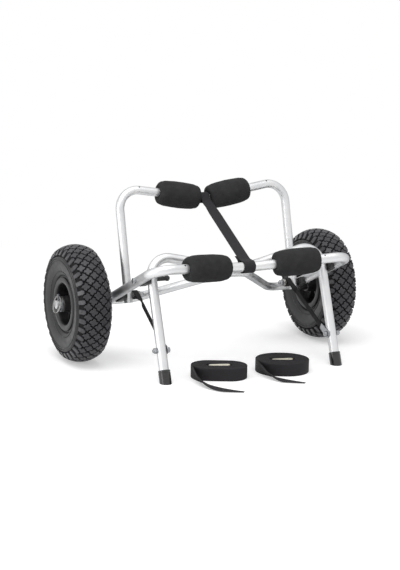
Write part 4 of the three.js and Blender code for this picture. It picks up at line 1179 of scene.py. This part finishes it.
# Webbing
def laid_strap(rows, columns):
    """Webbing cut flat, with its flat size as UVs, then laid so that each cross row lies on its own line."""
    bm = bmesh.new()
    bmesh.ops.create_grid(bm, x_segments=len(rows) - 1, y_segments=columns, size=0.5)
    flat = bm.loops.layers.uv.new("flat")
    along = [0.0]
    for (before, _), (after, _) in zip(rows, rows[1:]):
        along.append(along[-1] + (after - before).length)
    last = len(rows) - 1
    for face in bm.faces:
        for loop in face.loops:
            row = round((loop.vert.co.x + 0.5) * last)
            share = loop.vert.co.y + 0.5
            loop[flat].uv = (share * rows[row][1].length, along[row])
    for vert in bm.verts:
        edge, across = rows[round((vert.co.x + 0.5) * last)]
        vert.co = edge + across * (vert.co.y + 0.5)
    return outward(bm), along[-1]


SOFT_EDGE_ANGLE = math.radians(60)


def thickened(made, thickness):
    solid = made.modifiers.new("webbing_thickness", "SOLIDIFY")
    solid.thickness = thickness
    solid.offset = 0
    solid.use_even_offset = True
    edge = made.modifiers.new("soft_edge", "BEVEL")
    edge.width = thickness / 4
    edge.segments = 2
    edge.limit_method = "ANGLE"
    edge.angle_limit = SOFT_EDGE_ANGLE


def held_in_unit(share):
    return min(max(share, 0), 1)


def eased_in_and_out(share):
    return share * share * (3 - 2 * share)


def set_out(origin, along, top, points):
    """Places given as (along, up) pairs from an origin."""
    return [origin + along * x + top * y for x, y in points]


def upward(along):
    """The direction square to a heading in the YZ plane, on its upper side."""
    top = Vector((0, -along.z, along.y))
    return -top if top.z < 0 else top


LOOP_STEPS = 26
LOOP_LEAD = 3 * MM
LOOP_TUCK = 1 * MM
LOOP_TUCK_DEPTH = 0.6


def loop_route(radius, layer, cusp, neck, height):
    """Half a strap's route as (along, up) pairs: from the sewn end, round the bar and back to the neck."""
    under = height - layer
    points = [
        (neck, under),
        ((neck + cusp) / 2, under),
        (cusp + LOOP_LEAD, under),
        (cusp - LOOP_TUCK, under - layer * LOOP_TUCK_DEPTH),
    ]
    bearing = math.atan2(height, cusp)
    opening = math.acos(min(radius / math.hypot(cusp, height), 1))
    first = bearing - opening + 2 * math.pi
    span = 2 * opening - 2 * math.pi
    for i in range(LOOP_STEPS + 1):
        angle = first + span * i / LOOP_STEPS
        points.append((radius * math.cos(angle), radius * math.sin(angle)))
    points.append((cusp, height))
    return points


CENTRE_THICKNESS = 1.6 * MM
CENTRE_NECK = 34 * MM
CENTRE_CUSP = 20 * MM
CENTRE_WIDTH = 27 * MM
CENTRE_REAR_WIDTH = 23.4 * MM
CENTRE_EASE = 1.3 * MM
CENTRE_REAR_NECK = 4.5 * MM
CENTRE_FRONT_NECK = 5.5 * MM
CENTRE_SKEW = 3.5 * MM
CENTRE_SKEW_LENGTH = 70 * MM
CENTRE_REAR_ACROSS = -3.1 * MM
CENTRE_FRONT_ACROSS = -6 * MM
CENTRE_STEP = 2.2 * MM
CENTRE_WIDENING = 6
CENTRE_COLUMNS = 8


def smoothed(points):
    """The points with their corners worn round twice, ends kept."""
    for _ in range(2):
        inner = [(a + b * 2 + c) / 4 for a, b, c in zip(points, points[1:], points[2:])]
        points = [points[0], *inner, points[-1]]
    return points


def thinned(points, step):
    """The same route in even steps."""
    made = [points[0]]
    carried = 0.0
    for a, b in zip(points, points[1:]):
        length = (b - a).length
        while carried + length >= step:
            a = a + (b - a).normalized() * (step - carried)
            length = (b - a).length
            made.append(a)
            carried = 0.0
        carried += length
    made.append(points[-1])
    return made


def loop_centre(size, across, width, place):
    """A loop's centre, at the height that suits the whole stretch of V bar inside it."""
    slope = bar_slope(size)
    lowest = MIDDLE_BEND * (1 / math.cos(slope) - 1)
    highest = (abs(across) + width / 2) * math.tan(slope)
    return place @ Vector((0, 0, size["middle"] + (lowest + highest) / 2))


def sewn_loop(centre, along, top, tube, neck):
    """One end of the centre strap drawn round its bar, and the point where its neck begins."""
    radius = tube / 2 + GAP + CENTRE_EASE + CENTRE_THICKNESS / 2
    points = loop_route(radius, CENTRE_THICKNESS, CENTRE_CUSP, CENTRE_NECK, neck)
    return set_out(centre, along, top, points), centre + along * CENTRE_NECK + top * neck


def make_centre_strap():
    rear = loop_centre(REAR_FRAME, CENTRE_REAR_ACROSS, CENTRE_REAR_WIDTH, AT_REAR)
    front = loop_centre(FRONT_FRAME, CENTRE_FRONT_ACROSS, CENTRE_WIDTH, AT_FRONT)
    base = front - rear
    slip = math.asin((CENTRE_REAR_NECK - CENTRE_FRONT_NECK) / base.length)
    along = Matrix.Rotation(slip, 3, "X") @ base.normalized()
    top = upward(along)
    rear_route, start = sewn_loop(rear, along, top, REAR_TUBE, CENTRE_REAR_NECK)
    front_route, end = sewn_loop(front, -along, top, FRONT_TUBE, CENTRE_FRONT_NECK)
    route = smoothed(thinned(rear_route + front_route[::-1], CENTRE_STEP))
    rows = []
    for i, point in enumerate(route):
        share = held_in_unit((point - start).dot(along) / (end - start).length)
        width = CENTRE_REAR_WIDTH + (CENTRE_WIDTH - CENTRE_REAR_WIDTH) * min(CENTRE_WIDENING * share, 1)
        across = CENTRE_REAR_ACROSS + (CENTRE_FRONT_ACROSS - CENTRE_REAR_ACROSS) * share
        from_end = CENTRE_STEP * min(i, len(route) - 1 - i)
        skew = CENTRE_SKEW * max(0, 1 - from_end / CENTRE_SKEW_LENGTH) if share > 0.5 else 0
        rows.append((point + Vector((across - skew - width / 2, 0, 0)), Vector((width, 0, 0))))
    bm, length = laid_strap(rows, CENTRE_COLUMNS)
    strap = piece(bm, "centre_strap", WEBBING, None, "black_webbing",
                  "centre_strap_rear_loop", "centre_strap_run", "centre_strap_front_loop")
    thickened(strap, CENTRE_THICKNESS)
    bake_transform(strap)
    return length


STAY_WIDTH = 12 * MM
STAY_THICKNESS = 2 * MM
STAY_NECK = 24 * MM
STAY_CUSP = 14 * MM
STAY_TWIST_SHARE = 0.17
STAY_STEP = 2 * MM
STAY_RUN_STEPS = 30
STAY_CLIP_REACH = 30.3 * MM
STAY_COLUMNS = 5


def make_stays():
    pivot = Vector((middle_of("stay_loop").x, REAR_PIVOT.y, REAR_PIVOT.z))
    bolt = middle_of("stay_bolt")
    bolt.x = middle_of("stay_clip").x
    along = Vector((0, bolt.y - pivot.y, bolt.z - pivot.z)).normalized()
    top = upward(along)
    radius = REAR_SLEEVE_RADIUS + GAP + STAY_THICKNESS / 2
    route = loop_route(radius, STAY_THICKNESS, STAY_CUSP, STAY_NECK, radius)
    loop = set_out(pivot, along, top, route)
    bend_start = pivot + along * STAY_NECK + top * radius
    bend_end = bolt - along * STAY_CLIP_REACH
    run = [bend_start.lerp(bend_end, i / STAY_RUN_STEPS) for i in range(1, STAY_RUN_STEPS + 1)]
    route = smoothed(thinned(loop, STAY_STEP)) + run
    sideways = Vector((1, 0, 0))
    for side, sign in SIDES:
        rows = []
        for point in route:
            share = (point - bend_start).dot(along) / (bend_end - bend_start).length
            turn = math.pi / 2 * eased_in_and_out(held_in_unit(share / STAY_TWIST_SHARE))
            across = (sideways * math.cos(turn) + top * math.sin(turn)) * STAY_WIDTH
            rows.append((point - across / 2, across))
        bm, length = laid_strap(rows, STAY_COLUMNS)
        strap = piece(on_side(bm, sign), f"stay_webbing_{side}", STAY_WEBBING_PAINTED_SHADE, None, "black_webbing",
                      f"stay_loop_{side}", f"stay_strap_{side}")
        thickened(strap, STAY_THICKNESS)
        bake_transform(strap)
    return length


centre_length = make_centre_strap()
stay_length = make_stays()

# Rolled tie-down straps
TIE_WIDTH = 27 * MM
TIE_THICKNESS = 1.8 * MM
TIE_TURNS = 14
TIE_COLUMNS = 6
CAP_STEPS = 18
LAST_CAP_STEPS = 9
HOLE_LENGTH = 56 * MM
HOLE_WIDTH = 12 * MM
CAD_TIE_THICKNESS = 1.3 * MM
ROLL_TURN = math.radians(-26.4)
TAIL_STEPS = 48
TAIL_TAPER = 38 * MM
TAIL_TIP = 6 * MM
TAIL_REST = math.radians(4)
BUCKLE_RIM = 4 * MM
BUCKLE_EASE = 1.2 * MM
ROLLS = {
    "left": dict(
        length=122 * MM, width=78 * MM, across=-80.4 * MM, forward=249.4 * MM,
        tail=170 * MM, upright=4.7 * MM, fall=118 * MM,
        hug=math.radians(23), bend=math.radians(47), sunk=(1.8 * MM, 0),
    ),
    "right": dict(
        length=118 * MM, width=108 * MM, across=71.4 * MM, forward=254.4 * MM,
        tail=151 * MM, upright=8.9 * MM, fall=105 * MM,
        hug=math.radians(43), bend=math.radians(21), sunk=(3 * MM, 0.6 * MM),
    ),
}


def wound_rows(roll):
    """Lower edge and upward width of a strap wound round a long hole."""
    first_half = (HOLE_LENGTH - HOLE_WIDTH) / 2
    last_half = (roll["length"] - roll["width"]) / 2
    first_radius = (HOLE_WIDTH + CAD_TIE_THICKNESS) / 2
    last_radius = (roll["width"] - CAD_TIE_THICKNESS) / 2
    last = (2 * TIE_TURNS - 1) * (CAP_STEPS + 1) + LAST_CAP_STEPS
    rows = []
    for i in range(last + 1):
        cap, step = divmod(i, CAP_STEPS + 1)
        angle = math.pi * (cap + step / CAP_STEPS) - math.pi / 2
        radius = first_radius + (last_radius - first_radius) * i / last
        half = first_half + (last_half - first_half) * i / last
        centre = half if cap % 2 == 0 else -half
        edge = Vector((centre + radius * math.cos(angle), radius * math.sin(angle), 0))
        rows.append((edge, Vector((0, 0, TIE_WIDTH))))
    return rows


def tail_rows(roll, foot):
    """The loose tail: its foot follows the roll while its upper edge falls outwards until it lies flat."""
    radius = (roll["width"] - CAD_TIE_THICKNESS) / 2
    hug_length = roll["hug"] * radius
    step = roll["tail"] / TAIL_STEPS
    rows = []
    for i in range(1, TAIL_STEPS + 1):
        course = tail_bearing(roll, radius, hug_length, step * (i - 0.5))
        foot = foot + Vector((math.cos(course), math.sin(course), 0)) * step
        travelled = step * i
        bearing = tail_bearing(roll, radius, hug_length, travelled)
        away = Vector((math.sin(bearing), -math.cos(bearing), 0))
        fallen = held_in_unit((travelled - roll["upright"]) / roll["fall"])
        lean = (math.pi / 2 - TAIL_REST) * eased_in_and_out(fallen)
        width = TAIL_TIP + (TIE_WIDTH - TAIL_TIP) * min(1, (roll["tail"] - travelled) / TAIL_TAPER)
        edge = foot.copy()
        edge.z = math.sin(lean) * TIE_THICKNESS / 2
        rows.append((edge, (Vector((0, 0, math.cos(lean))) + away * math.sin(lean)) * width))
    return rows


def tail_bearing(roll, radius, hug_length, travelled):
    if travelled < hug_length:
        return 1.5 * math.pi + travelled / radius
    return 1.5 * math.pi + roll["hug"] + roll["bend"] * (travelled - hug_length) / (roll["tail"] - hug_length)


def sloped_buckle(node, place, sunk):
    """The cast buckle as it stands in its roll: the end that the strap is sewn to sits a little deeper."""
    bm = refined(node, BUCKLE_EASE)
    along = (place.to_3x3() @ Vector((1, 0, 0))).normalized()
    reaches = [vert.co.dot(along) for vert in bm.verts]
    first, last = min(reaches), max(reaches)
    top = max(vert.co.z for vert in bm.verts)
    for vert in bm.verts:
        if vert.co.z > top - BUCKLE_RIM:
            share = (vert.co.dot(along) - first) / (last - first)
            vert.co.z -= sunk[0] + (sunk[1] - sunk[0]) * share
    return bm


def make_rolls():
    lengths = {}
    for side, roll in ROLLS.items():
        place = placed((roll["across"], AXLE.y - roll["forward"], 0), ROLL_TURN, "Z")
        rows = wound_rows(roll)
        bm, length = laid_strap(rows + tail_rows(roll, rows[-1][0]), TIE_COLUMNS)
        strap = piece(moved(bm, place), f"rolled_strap_{side}", WEBBING, f"tie_down_{side}", "black_webbing",
                      f"strap_roll_{side}")
        thickened(strap, TIE_THICKNESS)
        full = f"cam_buckle_{side}"
        buckle = sloped_buckle(full, place, roll["sunk"])
        piece(buckle, f"cast_buckle_{side}", CAST_ZINC, body_of_node(full), "pale_alloy", full)
        lengths[side] = length
    return lengths


roll_lengths = make_rolls()
print("strap lengths in metres", centre_length, stay_length, roll_lengths)


# Floor, world and lamps
FLOOR_GLOW = 0.36
FLOOR_HALF = 12
SWEEP_START = 0.7
SWEEP_END = 1.6
WORLD_LIGHT = 0.62


def seen_directly(tree):
    """One for rays that show the studio itself, straight from the camera or by way of a shiny piece."""
    path = add(tree, "ShaderNodeLightPath").outputs
    seen = path["Is Camera Ray"]
    for ray in ("Is Glossy Ray", "Is Transmission Ray"):
        seen = add(tree, "ShaderNodeMath", {0: seen, 1: path[ray]}, operation="MAXIMUM").outputs[0]
    return seen


# Matt white paper that takes the cart's shadow near it and rises into a studio's bright sweep further off
def white_paper():
    material, tree = start_material("matt_white_paper")
    seen = seen_directly(tree)
    glow = add(tree, "ShaderNodeMath", {0: seen, 1: FLOOR_GLOW}, operation="MULTIPLY").outputs[0]
    paper = add(tree, "ShaderNodeBsdfPrincipled", {
        "Base Color": linear("#e9e9e9"),
        "Roughness": 0.95,
        "Emission Color": linear("#ffffff"),
        "Emission Strength": glow,
    })
    paper.inputs["Specular IOR Level"].default_value = 0.0
    sweep = add(tree, "ShaderNodeEmission", {"Color": linear("#ffffff"), "Strength": 1.0})
    place = add(tree, "ShaderNodeTexCoord").outputs["Object"]
    distance = add(tree, "ShaderNodeVectorMath", {0: place}, operation="LENGTH").outputs["Value"]
    links = {"Value": distance, "From Min": SWEEP_START, "From Max": SWEEP_END}
    faded = add(tree, "ShaderNodeMapRange", links, interpolation_type="SMOOTHSTEP").outputs["Result"]
    share = add(tree, "ShaderNodeMath", {0: faded, 1: seen}, operation="MULTIPLY").outputs[0]
    both = add(tree, "ShaderNodeMixShader", {0: share, 1: paper.outputs[0], 2: sweep.outputs[0]})
    add(tree, "ShaderNodeOutputMaterial", {"Surface": both.outputs[0]})
    return material


def make_floor():
    bm = bmesh.new()
    bmesh.ops.create_grid(bm, x_segments=1, y_segments=1, size=FLOOR_HALF)
    floor = in_scene("floor", mesh_of(bm, "floor"))
    floor.data.materials.append(white_paper())


def make_world():
    world = bpy.data.worlds.new("studio")
    bpy.context.scene.world = world
    world.use_nodes = True
    tree = world.node_tree
    tree.nodes.clear()
    light = add(tree, "ShaderNodeBackground", {"Color": linear("#ffffff"), "Strength": WORLD_LIGHT})
    shown = add(tree, "ShaderNodeBackground", {"Color": linear("#ffffff"), "Strength": 1.0})
    seen = seen_directly(tree)
    both = add(tree, "ShaderNodeMixShader", {0: seen, 1: light.outputs[0], 2: shown.outputs[0]})
    add(tree, "ShaderNodeOutputWorld", {"Surface": both.outputs[0]})


def softbox(name, place, size, power):
    lamp = bpy.data.lights.new(name, "AREA")
    lamp.shape = "RECTANGLE"
    lamp.size, lamp.size_y = size
    lamp.energy = power
    holder = in_scene(name, lamp)
    holder.location = place
    holder.rotation_mode = "QUATERNION"
    holder.rotation_quaternion = (AXLE - Vector(place)).to_track_quat("-Z", "Y")


make_floor()
make_world()
softbox("overhead", (-0.6, -0.6, 2.6), (2.4, 1.6), 39.5)
softbox("side", (-1.8, -0.15, 0.55), (0.9, 0.8), 8)

bpy.context.scene.view_settings.view_transform = "Standard"
